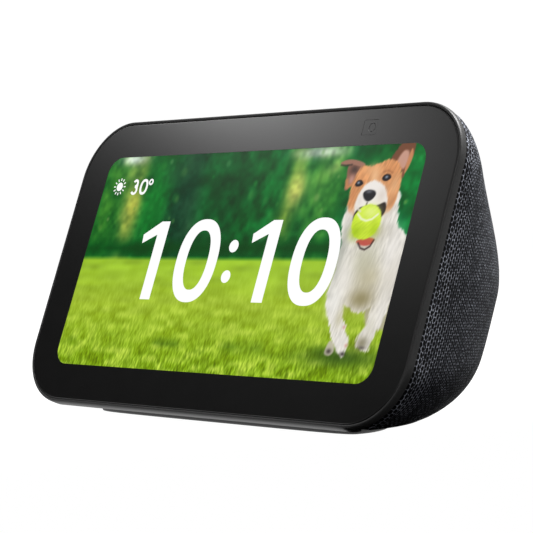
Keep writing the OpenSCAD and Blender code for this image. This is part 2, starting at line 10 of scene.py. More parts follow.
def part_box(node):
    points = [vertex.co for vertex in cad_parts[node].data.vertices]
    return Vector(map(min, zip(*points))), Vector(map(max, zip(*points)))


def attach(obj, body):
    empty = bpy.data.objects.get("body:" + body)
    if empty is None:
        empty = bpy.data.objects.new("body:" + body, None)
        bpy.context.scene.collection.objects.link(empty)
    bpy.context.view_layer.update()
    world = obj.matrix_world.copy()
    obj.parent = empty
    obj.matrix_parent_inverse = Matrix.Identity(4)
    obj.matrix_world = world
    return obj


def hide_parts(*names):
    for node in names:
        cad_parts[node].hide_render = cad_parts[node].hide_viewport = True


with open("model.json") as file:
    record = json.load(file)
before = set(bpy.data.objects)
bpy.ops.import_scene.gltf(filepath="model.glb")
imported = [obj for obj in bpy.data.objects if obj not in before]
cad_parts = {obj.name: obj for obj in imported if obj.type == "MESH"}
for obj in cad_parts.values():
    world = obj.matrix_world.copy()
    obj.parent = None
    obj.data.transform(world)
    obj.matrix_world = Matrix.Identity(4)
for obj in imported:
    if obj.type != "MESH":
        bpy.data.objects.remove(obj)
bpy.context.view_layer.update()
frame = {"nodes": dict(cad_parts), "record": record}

MM = 0.001
TILT = math.radians(20)
FRAME_W = 147
FRAME_H = 84.4
FRAME_R = 17
FRAME_DEPTH = 4.2
MID_S = FRAME_H / 2

# The panel frame has x across, D behind the front face and S up the tilted face, in millimetres.
front_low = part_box("front_frame")[0]
PANEL = (
    Matrix.Translation((0, front_low.y, front_low.z + FRAME_DEPTH * MM * math.sin(TILT)))
    @ Matrix.Rotation(-TILT, 4, "X")
    @ Matrix.Scale(MM, 4)
)
WORLD = Matrix.Scale(MM, 4)

# ---- Camera ----

CAMERA_AT = (0.39534, -0.38380, 0.04616)
CAMERA_AZIMUTH = math.radians(47.16)
CAMERA_ELEVATION = math.radians(0.59)
LENS_MM = 136.03
SENSOR_MM = 36

camera_data = bpy.data.cameras.new("camera")
camera_data.lens = LENS_MM
camera_data.sensor_width = SENSOR_MM
camera = bpy.data.objects.new("camera", camera_data)
camera.location = CAMERA_AT
toward_viewer = Vector((
    math.sin(CAMERA_AZIMUTH) * math.cos(CAMERA_ELEVATION),
    -math.cos(CAMERA_AZIMUTH) * math.cos(CAMERA_ELEVATION),
    math.sin(CAMERA_ELEVATION),
))
camera.rotation_euler = toward_viewer.to_track_quat("Z", "Y").to_euler()
bpy.context.scene.collection.objects.link(camera)
bpy.context.scene.camera = camera
bpy.context.scene.view_settings.view_transform = "Standard"

# ---- Mesh tools ----

SHARP_DEGREES = 35


def add_object(name, mesh):
    obj = bpy.data.objects.new(name, mesh)
    bpy.context.scene.collection.objects.link(obj)
    return obj


def solid(name, bm, place=PANEL, smooth=SHARP_DEGREES):
    """Object from a bmesh whose points are in millimetres of the given place."""
    bmesh.ops.recalc_face_normals(bm, faces=bm.faces)
    mesh = bpy.data.meshes.new(name)
    bm.to_mesh(mesh)
    bm.free()
    mesh.transform(place)
    mesh.shade_smooth()
    mesh.set_sharp_from_angle(angle=math.radians(smooth))
    return add_object(name, mesh)


def add_loft(bm, loops, ring=False, caps=False):
    """Quads between loops of equal length. ring joins the last to the first; caps closes both ends."""
    rows = [[bm.verts.new(p) for p in loop] for loop in loops]
    pairs = list(zip(rows, rows[1:]))
    if ring:
        pairs.append((rows[-1], rows[0]))
    for first, second in pairs:
        for k in range(len(first)):
            m = (k + 1) % len(first)
            bm.faces.new((first[k], first[m], second[m], second[k]))
    if caps:
        bm.faces.new(rows[0])
        bm.faces.new(rows[-1])


def loft(name, loops, ring=False, caps=False, place=PANEL, smooth=SHARP_DEGREES):
    bm = bmesh.new()
    add_loft(bm, loops, ring, caps)
    return solid(name, bm, place, smooth)


def rounded(w, h, r, x=0.0, s=MID_S, per_corner=12):
    """Outline (x, s) of a rounded rectangle."""
    points = []
    for quarter, (i, j) in enumerate([(1, 1), (-1, 1), (-1, -1), (1, -1)]):
        for k in range(per_corner + 1):
            a = math.radians(90 * (quarter + k / per_corner))
            points.append((x + i * (w / 2 - r) + r * math.cos(a), s + j * (h / 2 - r) + r * math.sin(a)))
    return points


def circle(r, x, s, count=52):
    return [(x + r * math.cos(2 * math.pi * k / count), s + r * math.sin(2 * math.pi * k / count))
            for k in range(count)]


def at_depth(outline, depth):
    return [(x, depth, s) for x, s in outline]


def number_grid(shape):
    """Index of each point of a grid, row by row."""
    return np.arange(shape[0] * shape[1]).reshape(shape)


def grid_faces(k):
    """Quads between neighbouring points of a numbered grid."""
    return np.stack([k[:-1, :-1], k[:-1, 1:], k[1:, 1:], k[1:, :-1]], -1).reshape(-1, 4).tolist()


def mesh_points(mesh):
    """Points of a mesh in millimetres."""
    points = np.zeros(len(mesh.vertices) * 3)
    mesh.vertices.foreach_get("co", points)
    return points.reshape(-1, 3) / MM


def cut(obj, cutter, solver="EXACT"):
    """Takes the cutter's volume out of the object and removes the cutter."""
    modifier = obj.modifiers.new("cut", "BOOLEAN")
    modifier.object = cutter
    modifier.solver = solver
    evaluated = obj.evaluated_get(bpy.context.evaluated_depsgraph_get())
    mesh = bpy.data.meshes.new_from_object(evaluated)
    obj.modifiers.remove(modifier)
    obj.data = mesh
    mesh.shade_smooth()
    mesh.set_sharp_from_angle(angle=math.radians(SHARP_DEGREES))
    bpy.data.objects.remove(cutter)


def finish_piece(obj, body, slot, *nodes):
    """Puts a piece on its body with its slot's material, in place of the CAD nodes."""
    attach(obj, body)
    if nodes:
        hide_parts(*nodes)
    obj.data.materials.clear()
    obj.data.materials.append(MATERIALS[slot])
    return obj


# ---- Materials ----


def calc(tree, operation, *values):
    node = tree.nodes.new("ShaderNodeMath")
    node.operation = operation
    for socket, value in zip(node.inputs, values):
        if isinstance(value, (int, float)):
            socket.default_value = value
        else:
            tree.links.new(value, socket)
    return node.outputs[0]


def smoothstep(tree, value, low, high, to_low=0.0, to_high=1.0):
    node = tree.nodes.new("ShaderNodeMapRange")
    node.interpolation_type = "SMOOTHSTEP"
    tree.links.new(value, node.inputs[0])
    for socket, number in zip(list(node.inputs)[1:5], (low, high, to_low, to_high)):
        socket.default_value = number
    return node.outputs[0]


def mix_colour(tree, factor, first, second):
    node = tree.nodes.new("ShaderNodeMix")
    node.data_type = "RGBA"
    tree.links.new(factor, node.inputs["Factor"])
    for socket, value in ((node.inputs[6], first), (node.inputs[7], second)):
        if isinstance(value, tuple):
            socket.default_value = (*value, 1)
        else:
            tree.links.new(value, socket)
    return node.outputs[2]


def noise(tree, size_mm, detail=3.0, stretch=(1, 1, 1)):
    """Noise whose features are about size_mm across, fixed to the object."""
    place = tree.nodes.new("ShaderNodeTexCoord")
    mapping = tree.nodes.new("ShaderNodeMapping")
    mapping.inputs["Scale"].default_value = stretch
    texture = tree.nodes.new("ShaderNodeTexNoise")
    texture.inputs["Scale"].default_value = 1 / (size_mm * MM)
    texture.inputs["Detail"].default_value = detail
    tree.links.new(place.outputs["Object"], mapping.inputs["Vector"])
    tree.links.new(mapping.outputs["Vector"], texture.inputs["Vector"])
    return texture.outputs["Fac"]


def add_bump(tree, shader, height, strength, depth_mm):
    bump = tree.nodes.new("ShaderNodeBump")
    bump.inputs["Strength"].default_value = strength
    bump.inputs["Distance"].default_value = depth_mm * MM
    tree.links.new(height, bump.inputs["Height"])
    tree.links.new(bump.outputs["Normal"], shader.inputs["Normal"])


def new_material(name, **sockets):
    """Material with a Principled shader; sockets are its uniform settings."""
    made = bpy.data.materials.new(name)
    made.use_nodes = True
    shader = made.node_tree.nodes["Principled BSDF"]
    for key, value in sockets.items():
        shader.inputs[key.replace("_", " ")].default_value = value
    return made, made.node_tree, shader


def surface(name, dark, light, grain_mm, bump=0.0, bump_mm=0.05, stretch=(1, 1, 1), **sockets):
    """Plain material with a fine mottle between two colours and a matching grain."""
    made, tree, shader = new_material(name, **sockets)
    grain = noise(tree, grain_mm, 4.0, stretch)
    mottle = smoothstep(tree, grain, 0.3, 0.7)
    tree.links.new(mix_colour(tree, mottle, dark, light), shader.inputs["Base Color"])
    if bump:
        add_bump(tree, shader, grain, bump, bump_mm)
    return made


def grey(level, warmth=0.0):
    return (level * (1 + warmth), level, level * (1 - warmth))


def knit_material(name):
    """Open knit: staggered oval holes between twisted yarns, laid out by the weave attribute. The holes are
    painted near black as shade, and the light flecks on the yarn crowns are partly painted highlight.
    """
    made, tree, shader = new_material(name, Roughness=0.85, Specular_IOR_Level=0.1)
    weave = tree.nodes.new("ShaderNodeAttribute")
    weave.attribute_name = "weave"
    split = tree.nodes.new("ShaderNodeSeparateXYZ")
    tree.links.new(weave.outputs["Vector"], split.inputs[0])
    wander = calc(tree, "MULTIPLY", calc(tree, "SUBTRACT", noise(tree, 1.4, 2.0), 0.5), WEAVE_WANDER)
    u = calc(tree, "DIVIDE", calc(tree, "ADD", split.outputs[0], wander), WEAVE_PITCH[0])
    odd = calc(tree, "FLOORED_MODULO", calc(tree, "FLOOR", u), 2)
    v = calc(tree, "DIVIDE", calc(tree, "ADD", split.outputs[1], wander), WEAVE_PITCH[1])
    v = calc(tree, "ADD", v, calc(tree, "MULTIPLY", odd, 0.5))
    across = calc(tree, "DIVIDE", calc(tree, "SUBTRACT", calc(tree, "FRACT", u), 0.5), HOLE_HALF[0])
    along = calc(tree, "DIVIDE", calc(tree, "SUBTRACT", calc(tree, "FRACT", v), 0.5), HOLE_HALF[1])
    ring = calc(tree, "ADD", calc(tree, "MULTIPLY", across, across), calc(tree, "MULTIPLY", along, along))
    # Holes open fully near the cloth's edges; along the bottom edge this darkening is painted shade.
    filled = calc(tree, "MULTIPLY", ring, smoothstep(tree, split.outputs[2], 2.0, 9.0, 1.0, HOLE_SHRINK))
    yarn = smoothstep(tree, filled, 0.75, 1.15)
    slanted = calc(tree, "ADD", u, calc(tree, "MULTIPLY", v, TWIST_SLANT))
    twist = calc(tree, "SINE", calc(tree, "MULTIPLY", slanted, TWIST_TURNS))
    speckle = calc(tree, "ADD", noise(tree, 0.45, 2.0), calc(tree, "MULTIPLY", twist, 0.06))
    # Light flecks fall on the yarn crowns between the holes: lighter fibres, and partly a painted highlight
    # on the crowns.
    crown = calc(tree, "ADD", speckle, smoothstep(tree, split.outputs[2], 1.0, 8.0, 0.55, 0.36))
    fleck_and_highlight = smoothstep(tree, calc(tree, "MULTIPLY", ring, crown), 1.3, 2.0)
    stitch = tree.nodes.new("ShaderNodeCombineXYZ")
    tree.links.new(calc(tree, "FLOOR", u), stitch.inputs[0])
    tree.links.new(calc(tree, "FLOOR", v), stitch.inputs[1])
    chance = tree.nodes.new("ShaderNodeTexWhiteNoise")
    tree.links.new(stitch.outputs[0], chance.inputs["Vector"])
    bright = mix_colour(tree, chance.outputs["Value"], YARN_DULL, YARN_LIGHT)
    thread = mix_colour(tree, fleck_and_highlight, YARN_DARK, bright)
    # The gaps get painted shade in place of cut holes.
    tree.links.new(mix_colour(tree, yarn, YARN_GAP, thread), shader.inputs["Base Color"])
    height = calc(tree, "ADD", yarn, calc(tree, "MULTIPLY", speckle, 0.35))
    add_bump(tree, shader, height, 0.7, 0.25)
    return made


def picture_material(name):
    """Lit screen whose colours are painted on its points."""
    made, tree, shader = new_material(
        name, Roughness=0.38, Emission_Strength=PICTURE_LIGHT, Specular_IOR_Level=0.1)
    shader.inputs["Base Color"].default_value = (0.004, 0.004, 0.004, 1)
    paint = tree.nodes.new("ShaderNodeAttribute")
    paint.attribute_name = "picture"
    tree.links.new(paint.outputs["Color"], shader.inputs["Emission Color"])
    return made


def lit_white(name):
    made, tree, shader = new_material(name, Roughness=0.38, Emission_Strength=1.0, Specular_IOR_Level=0.1)
    shader.inputs["Base Color"].default_value = (0.02, 0.02, 0.02, 1)
    tone = mix_colour(tree, noise(tree, 3.0), (0.98, 0.99, 1.0), (1.0, 1.0, 0.99))
    tree.links.new(tone, shader.inputs["Emission Color"])
    return made


WEAVE_PITCH = (1.05, 1.5)
WEAVE_WANDER = 0.2
HOLE_HALF = (0.4, 0.39)
HOLE_SHRINK = 2.2
TWIST_SLANT = 1.5
TWIST_TURNS = 25.0
YARN_DARK = (0.0076, 0.0083, 0.0102)
YARN_DULL = (0.038, 0.0405, 0.049)
# Colour of the light flecks, partly a painted highlight on the yarn crowns.
YARN_LIGHT = (0.41, 0.43, 0.49)
# Near-black gap colour: painted shade of the inside seen through the holes, which are not cut.
YARN_GAP = (0.001, 0.001, 0.0013)
PICTURE_LIGHT = 0.97

MATERIALS = {
    "cover_glass": surface("border_glass", grey(0.0045), grey(0.0056), 6, 0.02, 0.02,
                           Roughness=0.319, IOR=1.5),
    "adhesive": surface("foam_tape", grey(0.02), grey(0.03), 0.6, 0.3, Roughness=0.9),
    "screen": picture_material("picture"),
    "backlight": surface("light_guide", grey(0.75), grey(0.82), 4, Roughness=0.5),
    "steel_sheet": surface("stamped_steel", grey(0.45), grey(0.55), 1.2, 0.1, 0.03, (1, 12, 1),
                           Roughness=0.34, Metallic=1.0),
    "frame_plastic": surface("frame_plastic", grey(0.031), grey(0.039), 0.35, 0.18, 0.03, Roughness=0.42,
                             Specular_IOR_Level=0.14),
    "black_part": surface("black_moulding", grey(0.012), grey(0.017), 0.5, 0.15, 0.03, Roughness=0.5),
    "lens_glass": surface("lens_coating", (0.01, 0.012, 0.03), (0.02, 0.018, 0.05), 1.2, Roughness=0.06,
                          Coat_Weight=1.0, Coat_Roughness=0.02),
    "flex_film": surface("flex_film", (0.45, 0.22, 0.04), (0.62, 0.36, 0.09), 0.7, 0.1, 0.02, (1, 0.1, 1),
                         Roughness=0.35),
    "shutter_white": surface("shutter_white", grey(0.66), grey(0.74), 0.5, 0.1, 0.02, Roughness=0.5),
    "button_plastic": surface("button_plastic", grey(0.009), grey(0.013), 0.3, 0.2, 0.03, Roughness=0.48,
                              Specular_IOR_Level=0.25),
    "ivory_plastic": surface("ivory_plastic", (0.62, 0.57, 0.45), (0.7, 0.66, 0.54), 0.8, Roughness=0.5),
    "circuit_board": surface("solder_mask", (0.01, 0.1, 0.05), (0.02, 0.17, 0.08), 1.6, 0.2, 0.04,
                             Roughness=0.35, Coat_Weight=0.4),
    "soft_rubber": surface("soft_rubber", grey(0.04), grey(0.06), 0.4, 0.25, 0.04, Roughness=0.85),
    "sensor_metal": surface("plated_can", (0.6, 0.46, 0.2), (0.75, 0.62, 0.34), 0.5, 0.1, 0.02,
                            Roughness=0.3, Metallic=1.0),
    "screw_steel": surface("zinc_screw", grey(0.5), grey(0.62), 0.4, 0.15, 0.02,
                           Roughness=0.3, Metallic=1.0),
    "inner_plastic": surface("filled_plastic", grey(0.06), grey(0.09), 0.7, 0.3, 0.04, Roughness=0.65),
    "thermal_pad": surface("silicone_pad", (0.2, 0.32, 0.5), (0.3, 0.42, 0.62), 0.9, 0.3, 0.05,
                           Roughness=0.8),
    "spreader_aluminium": surface("spreader", grey(0.62), grey(0.74), 0.8, 0.15, 0.03, (1, 1, 14),
                                  Roughness=0.32, Metallic=1.0),
    "knit_fabric": knit_material("open_knit"),
    "base_plastic": surface("base_plastic", grey(0.02), grey(0.028), 0.4, 0.2, 0.03, Roughness=0.5),
    "foot_rubber": surface("foot_rubber", grey(0.02), grey(0.026), 0.5, 0.2, 0.04, Roughness=0.5,
                           Specular_IOR_Level=0.35),
    "magnet_nickel": surface("nickel", grey(0.6), grey(0.7), 1.5, Roughness=0.2, Metallic=1.0),
    "lead_red": surface("wire_insulation", (0.4, 0.015, 0.015), (0.55, 0.03, 0.03), 1.0, Roughness=0.35),
    "coil_copper": surface("copper_wire", (0.55, 0.24, 0.1), (0.7, 0.36, 0.16), 0.3, 0.4, 0.05, (1, 1, 6),
                           Roughness=0.3, Metallic=1.0),
    "cone_paper": surface("cone_paper", grey(0.03), grey(0.055), 0.6, 0.4, 0.06, Roughness=0.85),
    "spider_cloth": surface("spider_cloth", (0.5, 0.36, 0.14), (0.66, 0.5, 0.24), 0.5, 0.4, 0.06,
                            Roughness=0.85),
    "lit_white": lit_white("lit_white"),
    "print_grey": surface("print_grey", grey(0.3), grey(0.36), 0.4, Roughness=0.6),
    "camera_plate": surface("camera_plate", grey(0.0042), grey(0.0054), 1.5, 0.03, 0.02,
                            Roughness=0.335, IOR=1.5),
    "smoked_cover": surface("camera_glass", grey(0.003), grey(0.004), 2.0, Roughness=0.3, IOR=1.5),
}

for part in frame["record"]["subparts"]:
    node = frame["nodes"][part["node"]]
    if not node.material_slots:
        node.data.materials.append(None)
    for material_slot in node.material_slots:
        material_slot.link = "OBJECT"
        material_slot.material = MATERIALS[part["material_slot"]]

# ---- Picture on the screen, painted with soft shapes in panel millimetres ----

PIXEL = 0.25
PICTURE_X = (-62.5, 62.5)
PICTURE_S = (10.7, 73.7)
HORIZON = 42.7

picture_x = np.arange(PICTURE_X[0], PICTURE_X[1] + PIXEL / 2, PIXEL)
picture_s = np.arange(PICTURE_S[0], PICTURE_S[1] + PIXEL / 2, PIXEL)
X, S = np.meshgrid(picture_x, picture_s)
canvas = np.zeros(X.shape + (3,))


def value_noise(x, s, size_x, size_s, seed):
    """Smooth random field from 0 to 1 whose features are size_x by size_s."""
    lattice = np.random.default_rng(seed).random((256, 256))
    gx = (x + 200) / size_x
    gs = (s + 200) / size_s
    ix = np.floor(gx).astype(int)
    js = np.floor(gs).astype(int)
    fx = gx - ix
    fs = gs - js
    fx = fx * fx * (3 - 2 * fx)
    fs = fs * fs * (3 - 2 * fs)
    near = lattice[js % 256, ix % 256] * (1 - fx) + lattice[js % 256, (ix + 1) % 256] * fx
    far = lattice[(js + 1) % 256, ix % 256] * (1 - fx) + lattice[(js + 1) % 256, (ix + 1) % 256] * fx
    return near * (1 - fs) + far * fs


def streaks(x, s, angle, length, width, seed):
    """Random field drawn out along a direction, for fur and grass."""
    a = math.radians(angle)
    along = x * math.cos(a) + s * math.sin(a)
    across = s * math.cos(a) - x * math.sin(a)
    return value_noise(along, across, length, width, seed)


def smooth_loop(points, steps=5):
    """Closed Catmull-Rom curve through the points."""
    loop = []
    count = len(points)
    for i in range(count):
        p0, p1, p2, p3 = (np.array(points[(i + k - 1) % count], float) for k in range(4))
        for k in range(steps):
            t = k / steps
            loop.append(0.5 * (2 * p1 + (p2 - p0) * t + (2 * p0 - 5 * p1 + 4 * p2 - p3) * t * t
                               + (3 * p1 - p0 - 3 * p2 + p3) * t ** 3))
    return loop


def depth_inside(loop, x, s):
    """Distance to the outline, positive inside it."""
    nearest = np.full(x.shape, 1e9)
    inside = np.zeros(x.shape, bool)
    for (x0, s0), (x1, s1) in zip(loop, loop[1:] + loop[:1]):
        ex = x1 - x0
        es = s1 - s0
        t = np.clip(((x - x0) * ex + (s - s0) * es) / (ex * ex + es * es + 1e-9), 0, 1)
        nearest = np.minimum(nearest, (x - x0 - t * ex) ** 2 + (s - s0 - t * es) ** 2)
        if s0 != s1:
            inside ^= ((s0 > s) != (s1 > s)) & (x < ex * (s - s0) / es + x0)
    return np.where(inside, 1, -1) * np.sqrt(nearest)


def window(x0, x1, s0, s1):
    """Part of the canvas around a shape."""
    i0, i1 = np.searchsorted(picture_x, (x0, x1))
    j0, j1 = np.searchsorted(picture_s, (s0, s1))
    return slice(j0, j1), slice(i0, i1)


def blend_in(part, mask, colour):
    canvas[part] += (np.array(colour, float) - canvas[part]) * mask[..., None]


def shape(points, colour, soft=0.6, alpha=1.0, fur=0.0, angle=90, seed=5, shade=0.0, curved=True):
    """Soft-edged filled shape. fur roughens its edge and shade streaks its colour."""
    loop = smooth_loop(points) if curved else [np.array(p, float) for p in points]
    xs = [p[0] for p in loop]
    ss = [p[1] for p in loop]
    part = window(min(xs) - 2, max(xs) + 2, min(ss) - 2, max(ss) + 2)
    x, s = X[part], S[part]
    hair = streaks(x, s, angle, 1.7, 0.36, seed)
    depth = depth_inside(loop, x, s) + fur * (2 * hair - 1)
    mask = np.clip(0.5 + depth / soft, 0, 1)
    mask = mask * mask * (3 - 2 * mask) * alpha
    tone = 1 + shade * (2 * hair - 1)
    canvas[part] += (np.array(colour, float) * tone[..., None] - canvas[part]) * mask[..., None]


def blob(x, s, rx, rs, colour, alpha=1.0, angle=0, power=1.0):
    """Soft elliptical dab."""
    reach = 2.2 * max(rx, rs)
    part = window(x - reach, x + reach, s - reach, s + reach)
    dx, ds = X[part] - x, S[part] - s
    a = math.radians(angle)
    along = (dx * math.cos(a) + ds * math.sin(a)) / rx
    across = (ds * math.cos(a) - dx * math.sin(a)) / rs
    blend_in(part, alpha * np.exp(-(along ** 2 + across ** 2) ** power), colour)


def stroke(points, width, colour, alpha=1.0, soft=0.4):
    """Open line of even width."""
    xs = [p[0] for p in points]
    ss = [p[1] for p in points]
    part = window(min(xs) - 2, max(xs) + 2, min(ss) - 2, max(ss) + 2)
    x, s = X[part], S[part]
    nearest = np.full(x.shape, 1e9)
    for (x0, s0), (x1, s1) in zip(points, points[1:]):
        ex = x1 - x0
        es = s1 - s0
        t = np.clip(((x - x0) * ex + (s - s0) * es) / (ex * ex + es * es), 0, 1)
        nearest = np.minimum(nearest, np.hypot(x - x0 - t * ex, s - s0 - t * es))
    blend_in(part, alpha * np.clip(0.5 + (width / 2 - nearest) / soft, 0, 1), colour)


def paint_trees():
    canvas[:] = (32, 88, 46)
    # The grey-green column at x = -24 and the greyish dabs from x = -31 to -22 are partly painted
    # reflection: the haze of the key lamp on the glass is mixed into the trees' colours there.
    for x, half, colour in [
        (-57, 7, (70, 118, 50)), (-46, 6, (120, 140, 70)), (-37, 7, (30, 98, 44)),
        (-24, 7, (44, 66, 50)), (-8, 9, (24, 76, 42)), (9, 6, (22, 90, 46)),
        (17, 4.5, (96, 130, 62)), (30, 8, (76, 128, 60)), (41, 5, (24, 90, 48)), (60, 5, (24, 104, 56)),
    ]:
        blob(x, 60, half, 26, colour, 0.95, power=1.6)
    for x, s, rx, rs, colour, alpha in [
        (-46.5, 58, 3.2, 6.5, (150, 156, 76), 0.8), (-51, 66, 4, 4, (118, 150, 78), 0.7),
        (-51.5, 72.5, 6, 1.8, (214, 226, 214), 0.95), (-58, 56, 3, 6, (88, 134, 54), 0.6),
        (-57, 49, 6, 3, (46, 92, 40), 0.7), (-38, 60, 4, 9, (34, 112, 48), 0.6),
        (-31, 68, 5, 4, (50, 84, 56), 0.7), (-26, 58, 4, 7, (38, 58, 46), 0.7),
        (-22, 50, 5, 4, (60, 76, 58), 0.6), (-16, 66, 5, 5, (30, 90, 50), 0.6),
        (-5, 64, 6, 6, (18, 66, 36), 0.7), (2, 52, 5, 5, (30, 92, 44), 0.6),
        (10, 60, 4, 7, (18, 100, 48), 0.7), (19, 61, 3.4, 5, (184, 192, 110), 0.95),
        (16.5, 53, 3, 4, (126, 150, 66), 0.6), (25, 72, 9, 1.9, (202, 214, 198), 0.95),
        (27, 64, 4, 5, (104, 150, 74), 0.7), (34, 58, 3.4, 6, (84, 140, 62), 0.6),
        (31, 67.5, 3, 2.2, (150, 176, 110), 0.6), (38, 52, 4, 6, (28, 96, 50), 0.6),
        (59, 62, 5, 8, (18, 108, 56), 0.8), (60.5, 71, 3, 3, (60, 128, 66), 0.5),
    ]:
        blob(x, s, rx, rs, colour, alpha)
    leaves = value_noise(X, S, 3.1, 3.4, 11) - 0.5
    fine = value_noise(X, S, 1.2, 1.3, 12) - 0.5
    canvas[:] = canvas * (1 + 0.5 * leaves + 0.22 * fine)[..., None]
    canvas[..., 0] += 14 * leaves
    rng = np.random.default_rng(21)
    for _ in range(60):
        x = rng.uniform(-61, 61)
        s = rng.uniform(47, 72)
        size = rng.uniform(0.5, 1.5)
        tone = rng.choice([(150, 176, 96), (96, 150, 70), (58, 120, 58), (186, 196, 140)])
        blob(x, s, size, size * 1.1, tone, rng.uniform(0.15, 0.4), power=1.6)
    shrubs = np.clip(1 - np.abs(S - 45.6) / 3.6, 0, 1) * (0.75 + 0.5 * value_noise(X, S, 5, 3, 14))
    canvas[:] += (np.array((16, 62, 26.0)) - canvas) * np.clip(shrubs, 0, 1)[..., None] * 0.85
    plain = canvas.mean(-1, keepdims=True)
    canvas[:] = (plain + (canvas - plain) * 1.25) * (0.82 + 0.18 * np.clip(plain / 200, 0, 1))
    deep = np.clip(1.3 - canvas.mean(-1, keepdims=True) / 100, 0, 1)
    canvas[:] += deep * np.array((-34.0, 4, -10))


def paint_grass():
    near = np.clip((HORIZON - S) / (HORIZON - 11), 0, 1)
    far_tone = np.array((152, 192, 44.0))
    mid_tone = np.array((162, 192, 50.0))
    near_tone = np.array((130, 170, 26.0))
    first = np.clip(near / 0.4, 0, 1)[..., None]
    second = np.clip((near - 0.4) / 0.6, 0, 1)[..., None]
    tone = far_tone + (mid_tone - far_tone) * first + (near_tone - mid_tone) * second
    wide = value_noise(X, S, 9, 1.6, 31) - 0.5
    tone = tone * (1 + 0.16 * wide * (1 - near))[..., None]
    blades = 0.5 * streaks(X, S, 99, 1.6, 0.34, 32) + 0.5 * streaks(X, S, 76, 1.1, 0.32, 33) - 0.5
    patches = value_noise(X, S, 3.6, 1.7, 34) - 0.5
    strength = near ** 1.7
    tone = tone * (1 + strength * 0.85 * blades + (0.1 + 0.28 * strength) * patches)[..., None]
    tone[..., 2] += (8 + 60 * strength) * (blades + patches)
    tone[..., 0] += 40 * strength * np.clip(blades + patches, 0, 1)
    band = np.clip(1 - np.abs(S - 18.6) / 2.6, 0, 1)
    dark = band * np.clip(2.2 * value_noise(X, S, 5.5, 3, 35) - 0.8, 0, 1)
    tone += (np.array((34, 74, 12.0)) - tone) * (0.34 * dark)[..., None]
    ground = np.clip((HORIZON - S) / 1.4 + 0.5, 0, 1)[..., None]
    canvas[:] += (tone - canvas) * ground


def paint_dog():
    blob(50, 17.5, 13, 2.6, (40, 72, 18), 0.75)
    shape([(54, 31), (58, 34), (62.4, 34), (62.4, 26), (60, 25), (56, 26)], (176, 172, 140), 1.2, 1, 0.4)
    shape([
        (39.5, 58), (39, 54.5), (39.2, 51), (40.3, 47), (40.6, 43), (40.4, 39), (40, 36), (39.8, 33.5),
        (41, 29.5), (43.2, 26.2), (44.6, 23.4), (46, 21.5), (47.5, 19.5), (49.5, 18), (50.6, 17.8),
        (51.2, 19), (51.6, 21), (51.3, 22.5), (50, 24), (49.2, 26), (47.8, 27), (47, 28.5), (46.9, 31),
        (49.5, 29.6), (52, 29), (54, 29.3), (55.8, 30.6), (56.3, 28), (56.2, 26.2), (55, 24.5),
        (54, 22.8), (54, 21), (55, 20), (57, 19.6), (58.6, 19.4), (59.2, 21.5), (60, 24), (61.2, 26.5),
        (61.6, 30), (63, 36), (63, 47), (60.5, 50), (58, 51.8), (57.5, 54), (57, 57), (56.6, 60),
        (52, 62), (44, 62),
    ], (226, 222, 214), 0.9, 1, 0.4, 80, 41, 0.11)
    for x, s, rx, rs, colour, alpha in [
        (41.2, 44, 1.7, 9, (168, 170, 160), 0.75), (50, 42.5, 5, 5, (188, 186, 160), 0.75),
        (53, 38, 5, 3.5, (188, 180, 146), 0.7), (52, 32.5, 4.6, 3, (146, 136, 96), 0.92),
        (58.5, 44, 2.6, 7, (238, 234, 230), 0.6), (60.5, 38, 2.5, 6, (214, 208, 196), 0.6),
        (44.5, 38, 2.6, 5, (236, 232, 224), 0.7), (43.2, 31.5, 2.2, 3.6, (242, 240, 234), 0.7),
        (46.4, 27.5, 1.4, 2.6, (196, 190, 160), 0.7), (48.5, 21.3, 1.7, 1.8, (238, 234, 228), 0.6),
        (57.8, 25.5, 1.6, 3, (216, 212, 196), 0.7), (56, 21.4, 2, 1.7, (132, 126, 98), 0.8),
        (59.6, 30.5, 1.4, 3.5, (232, 228, 220), 0.6), (50, 50, 5.5, 2.4, (176, 168, 146), 0.6),
    ]:
        blob(x, s, rx, rs, colour, alpha)
    shape([(44.2, 18.5), (45, 21.5), (46.5, 21), (47.3, 19), (46, 17.8)], (196, 190, 172), 0.7, 0.95)
    blob(45.6, 18.9, 0.9, 0.7, (58, 50, 48), 0.85)
    blob(50.5, 18.4, 0.9, 0.6, (46, 40, 42), 0.85)
    blob(48.8, 25.2, 0.5, 0.5, (206, 150, 140), 0.8)
    blob(51, 20.6, 0.5, 0.5, (206, 150, 140), 0.8)
    blob(56.4, 20.2, 1.2, 0.5, (54, 48, 44), 0.6)


